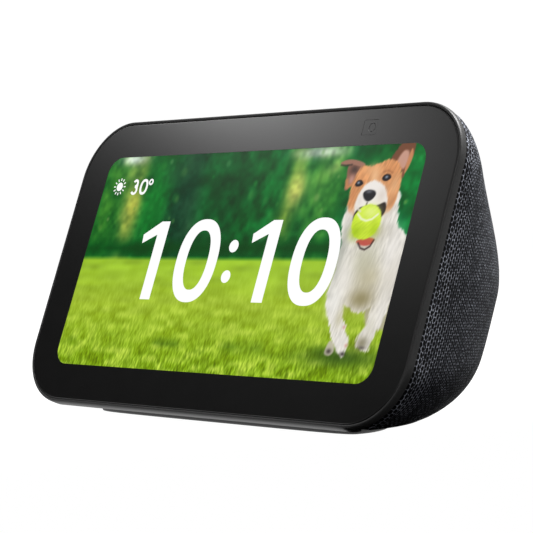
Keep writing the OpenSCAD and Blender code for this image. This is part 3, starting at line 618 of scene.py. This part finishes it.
def paint_head():
    shape([(50, 68.6), (50.8, 70.5), (52, 72.5), (53, 73.6), (57, 73.6), (57.6, 71.5), (57.3, 69),
           (56.6, 67), (56.3, 65.5), (55.5, 64), (54.5, 66), (52.5, 68)], (116, 72, 50), 0.7, 1, 0.25)
    shape([(52.6, 68.3), (54, 71.2), (55.8, 71), (56.2, 68.6), (55.2, 66.4)], (208, 160, 142), 0.9, 0.9)
    shape([(56.6, 71.8), (57.5, 70), (57, 67), (56, 65.2), (55.9, 68)], (206, 140, 94), 0.5, 0.9)
    shape([(36.2, 68.6), (41.5, 68), (41.2, 65), (38.6, 62.2), (36.8, 61.2), (36.3, 64)],
          (150, 104, 84), 0.7, 1, 0.2)
    blob(38.4, 66.6, 1.7, 1.5, (66, 50, 46), 0.9)
    blob(38.2, 64, 1, 1.5, (198, 150, 138), 0.8)
    stroke([(36.6, 63.8), (37.2, 62), (38.8, 62.6), (40.2, 64.6)], 0.8, (204, 134, 84), 0.9, 0.8)
    shape([(32.8, 68.6), (34.5, 69.4), (37, 69.5), (40, 68.9), (41.8, 68), (40, 67.6), (37, 68.2),
           (34.6, 68.1)],
          (156, 112, 94), 0.4, 1)
    stroke([(33.2, 68.1), (35, 67.9), (37, 68.1)], 0.5, (60, 46, 42), 0.8)
    shape([(41.2, 67.8), (43, 67.4), (46, 68), (48, 68.7), (50, 69.2), (52.5, 68.6), (54.5, 66.6),
           (55.3, 64), (55.7, 61.5), (55.4, 58.5), (54.5, 56.3), (53.2, 54.6), (50, 53.6), (45, 53.8),
           (41.4, 54.4), (39.9, 55.6), (39.1, 57.2), (38.8, 60), (38.8, 63.5), (39.9, 66)],
          (216, 150, 98), 0.7, 1, 0.24, 70, 43, 0.13)
    for x, s, rx, rs, colour, alpha in [
        (45, 66.6, 3, 1.6, (232, 174, 122), 0.8), (51.5, 66.3, 2.4, 1.8, (206, 138, 88), 0.7),
        (53.8, 62, 1.5, 3, (226, 176, 130), 0.7), (40.2, 59.5, 1, 3, (200, 132, 86), 0.7),
        (46.2, 64.6, 1.5, 2, (238, 192, 146), 0.75), (54.3, 57.8, 1, 2, (190, 134, 92), 0.7),
        (48.6, 63.4, 1.2, 1.2, (226, 170, 122), 0.6),
    ]:
        blob(x, s, rx, rs, colour, alpha)
    shape([(44.5, 63.2), (47, 63.6), (49.5, 62.5), (51.5, 60.5), (52.6, 58), (52.2, 56.2), (50, 55.6),
           (45, 55.2), (42.4, 55), (41.6, 57), (42, 59.5), (43, 61.6)], (240, 234, 228), 0.9, 1, 0.2)
    blob(50.2, 59.5, 1.6, 2, (218, 206, 196), 0.7)
    blob(43, 58.2, 0.9, 1.6, (222, 212, 204), 0.6)
    blob(41, 54.6, 1.6, 1.4, (226, 218, 208), 0.8)
    blob(53.4, 54.4, 1.4, 1.5, (220, 212, 202), 0.8)
    shape([(39.9, 62.7), (40.7, 63.8), (42, 63.7), (42.7, 62.8), (41.6, 62.1), (40.5, 62.1)],
          (30, 24, 26), 0.4)
    shape([(48.8, 64.1), (49.6, 65.1), (51.2, 65.1), (51.9, 64.2), (50.8, 63.4), (49.6, 63.4)],
          (30, 24, 26), 0.4)
    blob(41, 63.1, 0.45, 0.35, (168, 188, 210), 0.85)
    blob(50.3, 64.4, 0.5, 0.35, (168, 188, 210), 0.85)
    stroke([(48.9, 65.8), (50.4, 66.2), (52, 65.5)], 0.4, (150, 96, 62), 0.6, 0.6)
    shape([(43.6, 60.3), (44.9, 61.1), (47.2, 60.9), (48.1, 59.9), (47.3, 58.6), (45.8, 58), (44.3, 58.8)],
          (34, 32, 36), 0.5)
    blob(45.5, 60.6, 1.1, 0.4, (112, 114, 122), 0.8)
    stroke([(45.8, 57.6), (45.6, 56.6)], 0.4, (60, 50, 50), 0.9)
    shape([(42.2, 54.4), (43.4, 56.3), (46, 56.8), (49.5, 57), (52, 57.7), (52.8, 55.6), (51.6, 53.4),
           (49, 50), (45, 50), (42.8, 52)], (34, 26, 28), 0.6)
    shape([(45.4, 47.3), (47, 48.3), (49.6, 48.5), (51.6, 47.9), (50.6, 46.6), (48, 46.3)],
          (192, 84, 74), 0.6)
    stroke([(46.2, 47), (47.4, 45.7), (49, 45.3), (50.6, 46.2), (51.4, 47.8)], 0.5, (50, 32, 34), 0.9)
    turn = np.linspace(0, 2 * math.pi, 24, False)
    ball = [(47.2 + 4.9 * math.cos(a), 52.6 + 4.7 * math.sin(a)) for a in turn]
    shape(ball, (204, 232, 58), 0.6, 1, 0.12, 40, 45, 0.07)
    blob(48, 55.2, 3, 1.8, (230, 246, 138), 0.85)
    blob(44.4, 50, 2, 2, (158, 192, 22), 0.8)
    blob(50.4, 50.4, 1.8, 2, (172, 204, 30), 0.7)
    stroke([(43.6, 54.7), (45.2, 53.4), (47, 52.9), (48.9, 53.3), (50.6, 54.6)],
           0.55, (240, 244, 214), 0.95)
    stroke([(42.2, 56.6), (43.2, 56.1), (44.2, 55.4)], 0.6, (226, 218, 210), 0.8)


def painted_picture():
    """Linear colour of each point of the picture."""
    paint_trees()
    paint_grass()
    paint_dog()
    paint_head()
    value = np.clip(canvas, 0, 255) / 255
    return np.where(value < 0.04045, value / 12.92, ((value + 0.055) / 1.055) ** 2.4)


# ---- Screen ----

SCREEN_W = 124
SCREEN_H = 62
SCREEN_R = 5
GLASS_RIM = 0.8
GLASS_W = FRAME_W - 2 * GLASS_RIM
GLASS_H = FRAME_H - 2 * GLASS_RIM
GLASS_R = FRAME_R - GLASS_RIM
PICTURE_D = 0.17
MARK_D = (0.12, 0.16)
CAMERA_X = 40.8
CAMERA_S = 78.1
WINDOW_X = 40.1


def screen_picture():
    points = np.stack([X, np.full(X.shape, PICTURE_D), S], -1).reshape(-1, 3)
    mesh = bpy.data.meshes.new("screen_picture")
    mesh.from_pydata(points.tolist(), [], grid_faces(number_grid(X.shape)))
    mesh.transform(PANEL)
    colour = mesh.color_attributes.new("picture", "FLOAT_COLOR", "POINT")
    linear = painted_picture().reshape(-1, 3)
    colour.data.foreach_set("color", np.concatenate([linear, np.ones((len(linear), 1))], 1).ravel())
    return add_object("screen_picture", mesh)


def ribbon(points, width):
    """Outline of a line of even width."""
    left = []
    right = []
    for k, (x, s) in enumerate(points):
        x0, s0 = points[max(k - 1, 0)]
        x1, s1 = points[min(k + 1, len(points) - 1)]
        length = math.hypot(x1 - x0, s1 - s0)
        nx = (s0 - s1) / length * width / 2
        ns = (x1 - x0) / length * width / 2
        left.append((x + nx, s + ns))
        right.append((x - nx, s - ns))
    return left + right[::-1]


def arc(x, s, r, start, end, count=14):
    return [(x + r * math.cos(math.radians(start + (end - start) * k / count)),
             s + r * math.sin(math.radians(start + (end - start) * k / count))) for k in range(count + 1)]


def oval(x, s, half_w, half_h, power=2.3, count=64):
    points = []
    for k in range(count):
        a = 2 * math.pi * k / count
        c, n = math.cos(a), math.sin(a)
        points.append((x + half_w * math.copysign(abs(c) ** (2 / power), c),
                       s + half_h * math.copysign(abs(n) ** (2 / power), n)))
    return points


def add_plate(bm, outline, depths=MARK_D):
    add_loft(bm, [at_depth(outline, depths[0]), at_depth(outline, depths[1])], caps=True)


def add_hollow(bm, outer, inner, depths=MARK_D):
    near, far = depths
    loops = [at_depth(outer, far), at_depth(outer, near), at_depth(inner, near), at_depth(inner, far)]
    add_loft(bm, loops, ring=True)


def clock_digits():
    bm = bmesh.new()
    for shift in (0, 45.1):
        one = [(-31.4, 53.4), (-28, 53.4), (-28, 30.8), (-32.1, 30.8), (-32.1, 49.6), (-37.7, 47.1),
               (-38, 49.6)]
        add_plate(bm, [(x + shift, s) for x, s in one])
        add_hollow(bm, oval(-12.75 + shift, 42.1, 8.25, 11.8), oval(-12.65 + shift, 42.25, 4.35, 8.45))
    for s in (46.2, 37.7):
        add_plate(bm, circle(1.75, 0.7, s, 32))
    return solid("clock_digits", bm)


def weather_marks():
    bm = bmesh.new()
    sun_x, sun_s = -54.9, 64.2
    add_plate(bm, circle(1.3, sun_x, sun_s, 28))
    for k in range(12):
        a = math.radians(30 * k)
        ray = [(sun_x + r * math.cos(a), sun_s + r * math.sin(a)) for r in (1.8, 2.55)]
        add_plate(bm, ribbon(ray, 0.34))
    three = arc(-47.95, 65.1, 0.85, 155, -80) + arc(-47.95, 63.0, 1.05, 80, -155)
    add_plate(bm, ribbon(three, 0.72))
    add_hollow(bm, oval(-44, 63.95, 1.7, 2.35), oval(-44, 63.95, 0.92, 1.62))
    add_hollow(bm, circle(0.95, -41.25, 65.35, 28), circle(0.45, -41.25, 65.35, 28))
    return solid("weather_marks", bm)


def glass_border():
    """Black border of the cover glass, with its rounded outer edge and the window for the screen."""
    outer = [(0, 1.2), (0, 0.75), (0.06, 0.6), (0.2, 0.4), (0.44, 0.15), (0.5, 0.11), (0.56, 0.1),
             (0.68, 0.1)]
    inner = [(3, 0.1), (0.15, 0.1), (0.04, 0.1), (0, 0.14), (0, 0.32), (3, 0.32), (3, 1.2)]
    loops = [at_depth(rounded(GLASS_W - 2 * i, GLASS_H - 2 * i, GLASS_R - i), d) for i, d in outer]
    loops += [at_depth(rounded(SCREEN_W + 2 * i, SCREEN_H + 2 * i, SCREEN_R + i), d) for i, d in inner]
    border = loft("glass_border", loops, ring=True)
    hole = rounded(5.0, 4.2, 0.6, WINDOW_X, CAMERA_S)
    cut(border, loft("hole", [at_depth(hole, -1), at_depth(hole, 3)], caps=True))
    border.data.set_sharp_from_angle(angle=math.radians(40))
    return border


def camera_window():
    """Plate in the border's hole with a round opening over the lens."""
    plate = rounded(4.96, 4.16, 0.58, WINDOW_X, CAMERA_S)
    inset = rounded(4.86, 4.06, 0.53, WINDOW_X, CAMERA_S)
    return loft("camera_window", [
        at_depth(plate, 1.15), at_depth(plate, 0.16), at_depth(inset, 0.11),
        at_depth(circle(1.2, CAMERA_X, CAMERA_S), 0.11), at_depth(circle(1.12, CAMERA_X, CAMERA_S), 0.2),
        at_depth(circle(1.5, CAMERA_X, CAMERA_S), 1.15),
    ], ring=True)


def camera_cover():
    """Smoked disc over the camera."""
    return loft("camera_cover", [
        at_depth(circle(1.1, CAMERA_X, CAMERA_S), 0.4), at_depth(circle(1.1, CAMERA_X, CAMERA_S), 0.2),
        at_depth(circle(1.04, CAMERA_X, CAMERA_S), 0.15),
    ], caps=True)


finish_piece(screen_picture(), "housing", "screen")
for marks in (clock_digits(), weather_marks()):
    finish_piece(marks, "housing", "screen").data.materials[0] = MATERIALS["lit_white"]
finish_piece(glass_border(), "housing", "cover_glass", "cover_glass")
finish_piece(camera_window(), "housing", "cover_glass").data.materials[0] = MATERIALS["camera_plate"]
finish_piece(camera_cover(), "housing", "cover_glass").data.materials[0] = MATERIALS["smoked_cover"]

# ---- Front frame ----

POCKET = ((27.6, 45), (74.9, 81))
RIM_SIDE = 1.65
HEM_FRONT = 2.25
TOP_HALF = 60


def frame_band(name, profile):
    """Ring round the front, from (distance in from its edge, depth) points."""
    loops = []
    for inset, depth in profile:
        edge = rounded(FRAME_W - 2 * inset, FRAME_H - 2 * inset, FRAME_R - inset, per_corner=20)
        loops.append(at_depth(edge, depth))
    return loft(name, loops, ring=True)


def leave_sides(band):
    """Takes the straight top and bottom stretches out of a ring."""
    middle = [(-TOP_HALF, -10), (TOP_HALF, -10), (TOP_HALF, 100), (-TOP_HALF, 100)]
    cut(band, loft("middle", [at_depth(middle, -5), at_depth(middle, 12)], caps=True))


def front_rim():
    """Rim round the glass: rounded front lip, flat side and the shelf behind the glass."""
    profile = [(0.98, 1.25), (0.98, 0.3), (0.9, 0.12), (0.72, 0.02)]
    for k in range(9):
        a = math.radians(90 * k / 8)
        profile.append((0.48 * (1 - math.sin(a)), 0.03 + 1.2 * (1 - math.cos(a))))
    profile += [(0, RIM_SIDE), (0, 3.0), (0.06, 3.2), (0.25, 3.35), (1.6, 3.4), (1.6, 4.2), (6, 4.2)]
    profile += [(6, 2.6), (8.2, 2.6), (8.2, 1.4), (1.8, 1.4), (1.8, 1.25)]
    rim = frame_band("front_rim", profile)
    notch = frame_band("notch", [
        (1.5, RIM_SIDE + 0.2), (0.12, RIM_SIDE + 0.14), (-1, RIM_SIDE - 0.2), (-1, 3.8), (1.5, 3.8)])
    leave_sides(notch)
    cut(rim, notch)
    (x0, x1), (s0, s1) = POCKET
    corners = [(x0, s0), (x1, s0), (x1, s1), (x0, s1)]
    cut(rim, loft("pocket", [at_depth(corners, 1.22), at_depth(corners, 9)], caps=True))
    return rim


finish_piece(front_rim(), "housing", "frame_plastic", "front_frame")

# ---- Fabric cover ----

# Shape of the rear, from a fit to the photo's outline in which the depth was held near 91 mm.
DOME_HW = 72.8
DOME_CORNER = 17
DOME_POWER = 2 / 1.706
DOME_DEPTH = 75.55
DOME_LEVEL = 29.9
DOME_BOTTOM = -0.3
LOW_REACH = 33.5
EASE = 0.012
FABRIC_T = 0.9
LOWER_ROWS = 30
UPPER_ROWS = 90
COLUMNS = 180
lip = front_low / MM
LIP_Z = front_low.z / MM + FRAME_DEPTH * math.sin(TILT)
DOME_START_Y = lip.y + FRAME_DEPTH * math.cos(TILT)


def slope_s(z):
    return (z + FRAME_DEPTH * math.sin(TILT)) / math.cos(TILT)


def half_width(z, inset):
    s = slope_s(z)
    into = np.maximum(0, np.maximum(DOME_CORNER - s, s - (FRAME_H - DOME_CORNER)))
    r = DOME_CORNER - inset
    return DOME_HW - DOME_CORNER + np.sqrt(np.maximum(0, r * r - np.minimum(into, r) ** 2))


def dome_top(inset):
    return (FRAME_H - 0.7 - inset) * math.cos(TILT) - FRAME_DEPTH * math.sin(TILT)


def dome_reach(z, inset):
    up = np.clip((z - DOME_LEVEL) / (dome_top(inset) - DOME_LEVEL), 0, 1)
    eased = ((up ** 2 + EASE) ** 0.75 - EASE ** 0.75) / ((1 + EASE) ** 0.75 - EASE ** 0.75)
    down = np.clip((DOME_LEVEL - z) / (LOW_REACH - inset), 0, 1)
    return np.where(z > DOME_LEVEL, (1 - eased) ** (1 / 1.2), (1 - down ** 4) ** (1 / 5))


def dome_surface(z, angle, inset):
    """Housing surface at level z above the lip, angle -90 to 90 degrees round from edge to edge."""
    a = np.radians(angle)
    x = half_width(z, inset) * np.sign(np.sin(a)) * np.abs(np.sin(a)) ** DOME_POWER
    depth = (DOME_DEPTH - inset) * dome_reach(z, inset) * np.maximum(0, np.cos(a)) ** DOME_POWER
    return np.stack([x, DOME_START_Y + slope_s(z) * math.sin(TILT) + depth, z + LIP_Z], -1)


def dome_levels(inset):
    """Levels from the bottom to the top, closer together near the top."""
    lower = np.linspace(DOME_BOTTOM + inset, DOME_LEVEL, LOWER_ROWS + 1)
    rise = np.sin(np.linspace(0, math.pi / 2, UPPER_ROWS + 1))[1:] ** (2 / 1.5)
    return np.concatenate([lower, DOME_LEVEL + (dome_top(inset) - DOME_LEVEL) * rise])


def dome_solid(name, inset, ahead):
    """Closed solid under the housing surface. ahead moves its front face forward."""
    z, angle = np.meshgrid(dome_levels(inset), np.linspace(-90, 90, COLUMNS + 1), indexing="ij")
    points = dome_surface(z, angle, inset)
    shift = np.array([0, -ahead * math.cos(TILT), ahead * math.sin(TILT)])
    for edge in (points[:, 0], points[:, -1], points[-1, 1:-1]):
        edge += shift
    k = number_grid(z.shape)
    front = [[k[i, -1], k[i + 1, -1], k[i + 1, 0], k[i, 0]] for i in range(len(k) - 2)]
    top = [k[-2, -1]] + list(k[-1, ::-1]) + [k[-2, 0]]
    bm = bmesh.new()
    verts = [bm.verts.new(p) for p in points.reshape(-1, 3)]
    for face in grid_faces(k) + front + [top, list(k[0, ::-1])]:
        bm.faces.new([verts[i] for i in face])
    return solid(name, bm, WORLD)


DECK_W = 96
DECK_D = (4.4, 13.8)
DECK_MID = sum(DECK_D) / 2
DECK_R = (DECK_D[1] - DECK_D[0]) / 2
DECK_S = (81.2, 83.6)
CAP_GAP = 0.2
JACK_Z = 12.7
BEZEL_R = 5.4
FOOT_MID_Y = -31
FOOT_GAP = 2.2


def base_outline(margin, count=48):
    """Outline (x, y) of the foot, a flat-fronted oval."""
    points = []
    for k in range(2 * count):
        a = math.pi * k / count - math.pi / 2
        rear = k <= count
        power = 2 / (1.75 if rear else 4.5)
        reach = (38 if rear else 6) + margin
        c, n = math.cos(a), math.sin(a)
        points.append(((50 + margin) * math.copysign(abs(n) ** power, n),
                       FOOT_MID_Y + reach * math.copysign(abs(c) ** power, c)))
    return points


def deck_cutter():
    """Opening for the strip of controls, open towards the frame."""
    end = DECK_W / 2 - DECK_R
    r = DECK_R + CAP_GAP
    outline = [(-end - r, -1), (end + r, -1)]
    quarter = np.linspace(0, math.pi / 2, 14)
    outline += [(end + r * math.cos(a), DECK_MID + r * math.sin(a)) for a in quarter]
    outline += [(-end - r * math.sin(a), DECK_MID + r * math.cos(a)) for a in quarter]
    loops = [[(x, d, s) for x, d in outline] for s in (DECK_S[0] - 8, DECK_S[1] + 9)]
    return loft("deck_cutter", loops, caps=True)


def weave_layout(points):
    """Where each point lies on the cloth: round the housing and up it, in millimetres along the surface."""
    levels = np.linspace(DOME_BOTTOM, dome_top(0) - 0.01, 160)
    angles = np.linspace(-90, 90, 241)
    z, angle = np.meshgrid(levels, angles, indexing="ij")
    grid = dome_surface(z, angle, 0)
    round_step = np.linalg.norm(np.diff(grid, axis=1), axis=2)
    around = np.concatenate([np.zeros((len(levels), 1)), np.cumsum(round_step, 1)], 1)
    to_edge = np.minimum(around, around[:, -1:] - around)
    around = (around / around[:, -1:] - 0.5) * around[:, -1].max()
    up_step = np.linalg.norm(np.diff(grid, axis=0), axis=2)
    up = np.concatenate([np.zeros((1, len(angles))), np.cumsum(up_step, 0)], 0)
    # The distance up from the bottom counts too, so the holes open wider near the base: painted shade that
    # darkens the cloth towards the bottom.
    to_edge = np.minimum(to_edge, np.minimum(up, up[-1:] - up))
    middle = np.cos(np.radians(angles)) ** 2
    up = up[:, :1] * (1 - middle) + up[:, len(angles) // 2:len(angles) // 2 + 1] * middle
    level = points[:, 2] - LIP_Z
    side = np.clip(np.abs(points[:, 0]) / half_width(level, 0), 0, 1) ** (1 / DOME_POWER)
    turn = np.degrees(np.arcsin(side)) * np.sign(points[:, 0])
    row = np.clip((level - levels[0]) / (levels[1] - levels[0]), 0, len(levels) - 1.001)
    column = np.clip((turn + 90) / (angles[1] - angles[0]), 0, len(angles) - 1.001)
    i, j = row.astype(int), column.astype(int)
    fi, fj = row - i, column - j
    found = []
    for table in (around, up, to_edge):
        low = table[i, j] * (1 - fj) + table[i, j + 1] * fj
        high = table[i + 1, j] * (1 - fj) + table[i + 1, j + 1] * fj
        found.append(low * (1 - fi) + high * fi)
    return np.stack(found, -1)


def lay_weave(mesh, layout):
    weave = mesh.attributes.new("weave", "FLOAT_VECTOR", "POINT")
    weave.data.foreach_set("vector", layout.ravel())


def fabric_skin():
    fabric = dome_solid("fabric_skin", 0, 0)
    cut(fabric, dome_solid("inside", FABRIC_T, 0.3), "MANIFOLD")
    cut(fabric, deck_cutter(), "MANIFOLD")
    hole = [[(x, y, z) for x, y in base_outline(FOOT_GAP)] for z in (-3, 6)]
    cut(fabric, loft("base_hole", hole, caps=True, place=WORLD), "MANIFOLD")
    bore = [[(x, y, z + JACK_Z) for x, z in circle(BEZEL_R + 0.15, 0, 0)] for y in (10, 60)]
    cut(fabric, loft("jack_hole", bore, caps=True, place=WORLD), "MANIFOLD")
    lay_weave(fabric.data, weave_layout(mesh_points(fabric.data)))
    return fabric


def fabric_hem():
    """Front edge of the cloth, tucked in behind the rim on both sides."""
    reach = FRAME_DEPTH - HEM_FRONT
    section = [(0.998, -0.15), (1, 0), (1.002, 0.9), (1.0015, reach - 0.25), (0.999, reach - 0.06),
               (0.985, reach), (0.985, -0.15)]
    middle = np.array((0, DOME_START_Y + MID_S * math.sin(TILT), LIP_Z + MID_S * math.cos(TILT)))
    forward = np.array((0, -math.cos(TILT), math.sin(TILT)))
    levels = dome_levels(0)
    bm = bmesh.new()
    for side in (-90, 90):
        edge = dome_surface(levels, np.full(len(levels), side), 0)
        add_loft(bm, [
            [middle + (p - middle) * scale + forward * ahead for scale, ahead in section] for p in edge
        ], caps=True)
    hem = solid("fabric_hem", bm, WORLD)
    points = mesh_points(hem.data)
    depth = (points[:, 1] - lip.y) * math.cos(TILT) - (points[:, 2] - lip.z) * math.sin(TILT)
    ahead = FRAME_DEPTH - depth
    layout = weave_layout(points - ahead[:, None] * forward)
    layout[:, 0] += np.sign(points[:, 0]) * ahead
    lay_weave(hem.data, layout)
    return hem


fabric = finish_piece(fabric_skin(), "housing", "knit_fabric", "fabric_cover")
hem = finish_piece(fabric_hem(), "housing", "knit_fabric")

# ---- Foot ----


def foot_pad():
    """Foot with a softly rounded lower edge."""
    loops = []
    for inset, z in [(0, 2), (0, 0.9), (0.05, 0.6), (0.18, 0.33), (0.4, 0.12), (0.75, 0.02), (1.2, 0)]:
        loops.append([(x, y, z) for x, y in base_outline(-inset)])
    return loft("foot_pad_piece", loops, caps=True, place=WORLD)


finish_piece(foot_pad(), "housing", "foot_rubber", "foot_pad")

# ---- Marks on the buttons ----

CAP_TOP = 84.1


def cap_mark(name, body, shapes):
    bm = bmesh.new()
    for outer, inner in shapes:
        loops = [[(x, d, s) for x, d in outer] for s in (CAP_TOP - 0.24, CAP_TOP - 0.06)]
        if inner:
            loops += [[(x, d, s) for x, d in inner] for s in (CAP_TOP - 0.06, CAP_TOP - 0.24)]
        add_loft(bm, loops, ring=bool(inner), caps=not inner)
    finish_piece(solid(name, bm), body, "button_plastic").data.materials[0] = MATERIALS["print_grey"]


def bar(x, half_x, half_d):
    return [(x - half_x, DECK_MID - half_d), (x + half_x, DECK_MID - half_d),
            (x + half_x, DECK_MID + half_d), (x - half_x, DECK_MID + half_d)]


cap_mark("volume_down_mark", "volume_down", [(bar(-28, 1.34, 0.24), None)])
cap_mark("volume_up_mark", "volume_up", [
    (bar(-14, 1.34, 0.24), None), (bar(-14, 0.24, 1.34), None)])
cap_mark("mute_mark", "mute", [(circle(1.26, 8, DECK_MID), circle(0.84, 8, DECK_MID))])

# ---- Floor, light and backdrop ----

FLOOR_R = 3.0
FLOOR_SIDES = 48
BACKDROP_EDGE = (0.9, 0.97)
ROOM_LIGHT = 0.6
BACKDROP_LIGHT = 1.02
BACKDROP_TOWARD = Vector((-0.733, 0.68, 0)).normalized()


def floor():
    loops = [[(r * math.cos(a), r * math.sin(a), 0) for a in np.linspace(0, 2 * math.pi, FLOOR_SIDES, False)]
             for r in (0.5, FLOOR_R)]
    bm = bmesh.new()
    add_loft(bm, loops)
    bm.faces.new(list(bm.verts)[:FLOOR_SIDES])
    piece = solid("floor", bm, Matrix.Identity(4))
    white = surface("floor_white", grey(0.05), grey(0.06), 60, Roughness=0.9, Emission_Strength=1.0)
    white.node_tree.nodes["Principled BSDF"].inputs["Emission Color"].default_value = (1, 1, 1, 1)
    piece.data.materials.append(white)


def softbox(name, at, size, power, aim=(0, 0, 0.04)):
    data = bpy.data.lights.new(name, "AREA")
    data.shape = "RECTANGLE"
    data.size, data.size_y = size
    data.energy = power
    lamp = bpy.data.objects.new(name, data)
    lamp.location = at
    lamp.rotation_euler = (Vector(at) - Vector(aim)).to_track_quat("Z", "Y").to_euler()
    lamp.visible_camera = False
    bpy.context.scene.collection.objects.link(lamp)


def studio_world():
    """Pale surroundings, white behind the object."""
    world = bpy.data.worlds.new("studio")
    bpy.context.scene.world = world
    world.use_nodes = True
    tree = world.node_tree
    background = tree.nodes["Background"]
    place = tree.nodes.new("ShaderNodeTexCoord")
    behind = tree.nodes.new("ShaderNodeVectorMath")
    behind.operation = "DOT_PRODUCT"
    behind.inputs[1].default_value = BACKDROP_TOWARD
    tree.links.new(place.outputs["Generated"], behind.inputs[0])
    strength = smoothstep(tree, behind.outputs["Value"], *BACKDROP_EDGE, ROOM_LIGHT, BACKDROP_LIGHT)
    tree.links.new(strength, background.inputs["Strength"])
    background.inputs["Color"].default_value = (1, 1, 1, 1)


def black_card(name, at, size, facing):
    """Card that keeps light off one side, as a studio flag does. The camera doesn't see it."""
    turn = Vector(facing).to_track_quat("Z", "Y")
    bm = bmesh.new()
    corners = [(x * size[0] / 2, y * size[1] / 2, 0) for x, y in ((-1, -1), (1, -1), (1, 1), (-1, 1))]
    bm.faces.new([bm.verts.new(turn @ Vector(p) + Vector(at)) for p in corners])
    card = solid(name, bm, Matrix.Identity(4))
    card.data.materials.append(surface(name + "_black", grey(0.002), grey(0.003), 20, Roughness=1.0,
                                       Specular_IOR_Level=0.0))
    card.visible_camera = False


floor()
studio_world()
black_card("front_flag", (-0.55, -0.39, 0.32), (1.5, 1.1), (0.73, 0.52, -0.43))
black_card("side_flag", (0.2025, -0.02, 0.001), (0.295, 0.6), (0, 0, 1))
# The overhead lamp's place and power are given. The key lamp is one of several that fit the bezel's
# brightness.
softbox("overhead", (0.165, 0.385, 1.01), (0.5, 0.5), 42)
softbox("key", (-0.275, -0.151, 0.272), (0.048, 0.048), 0.225)
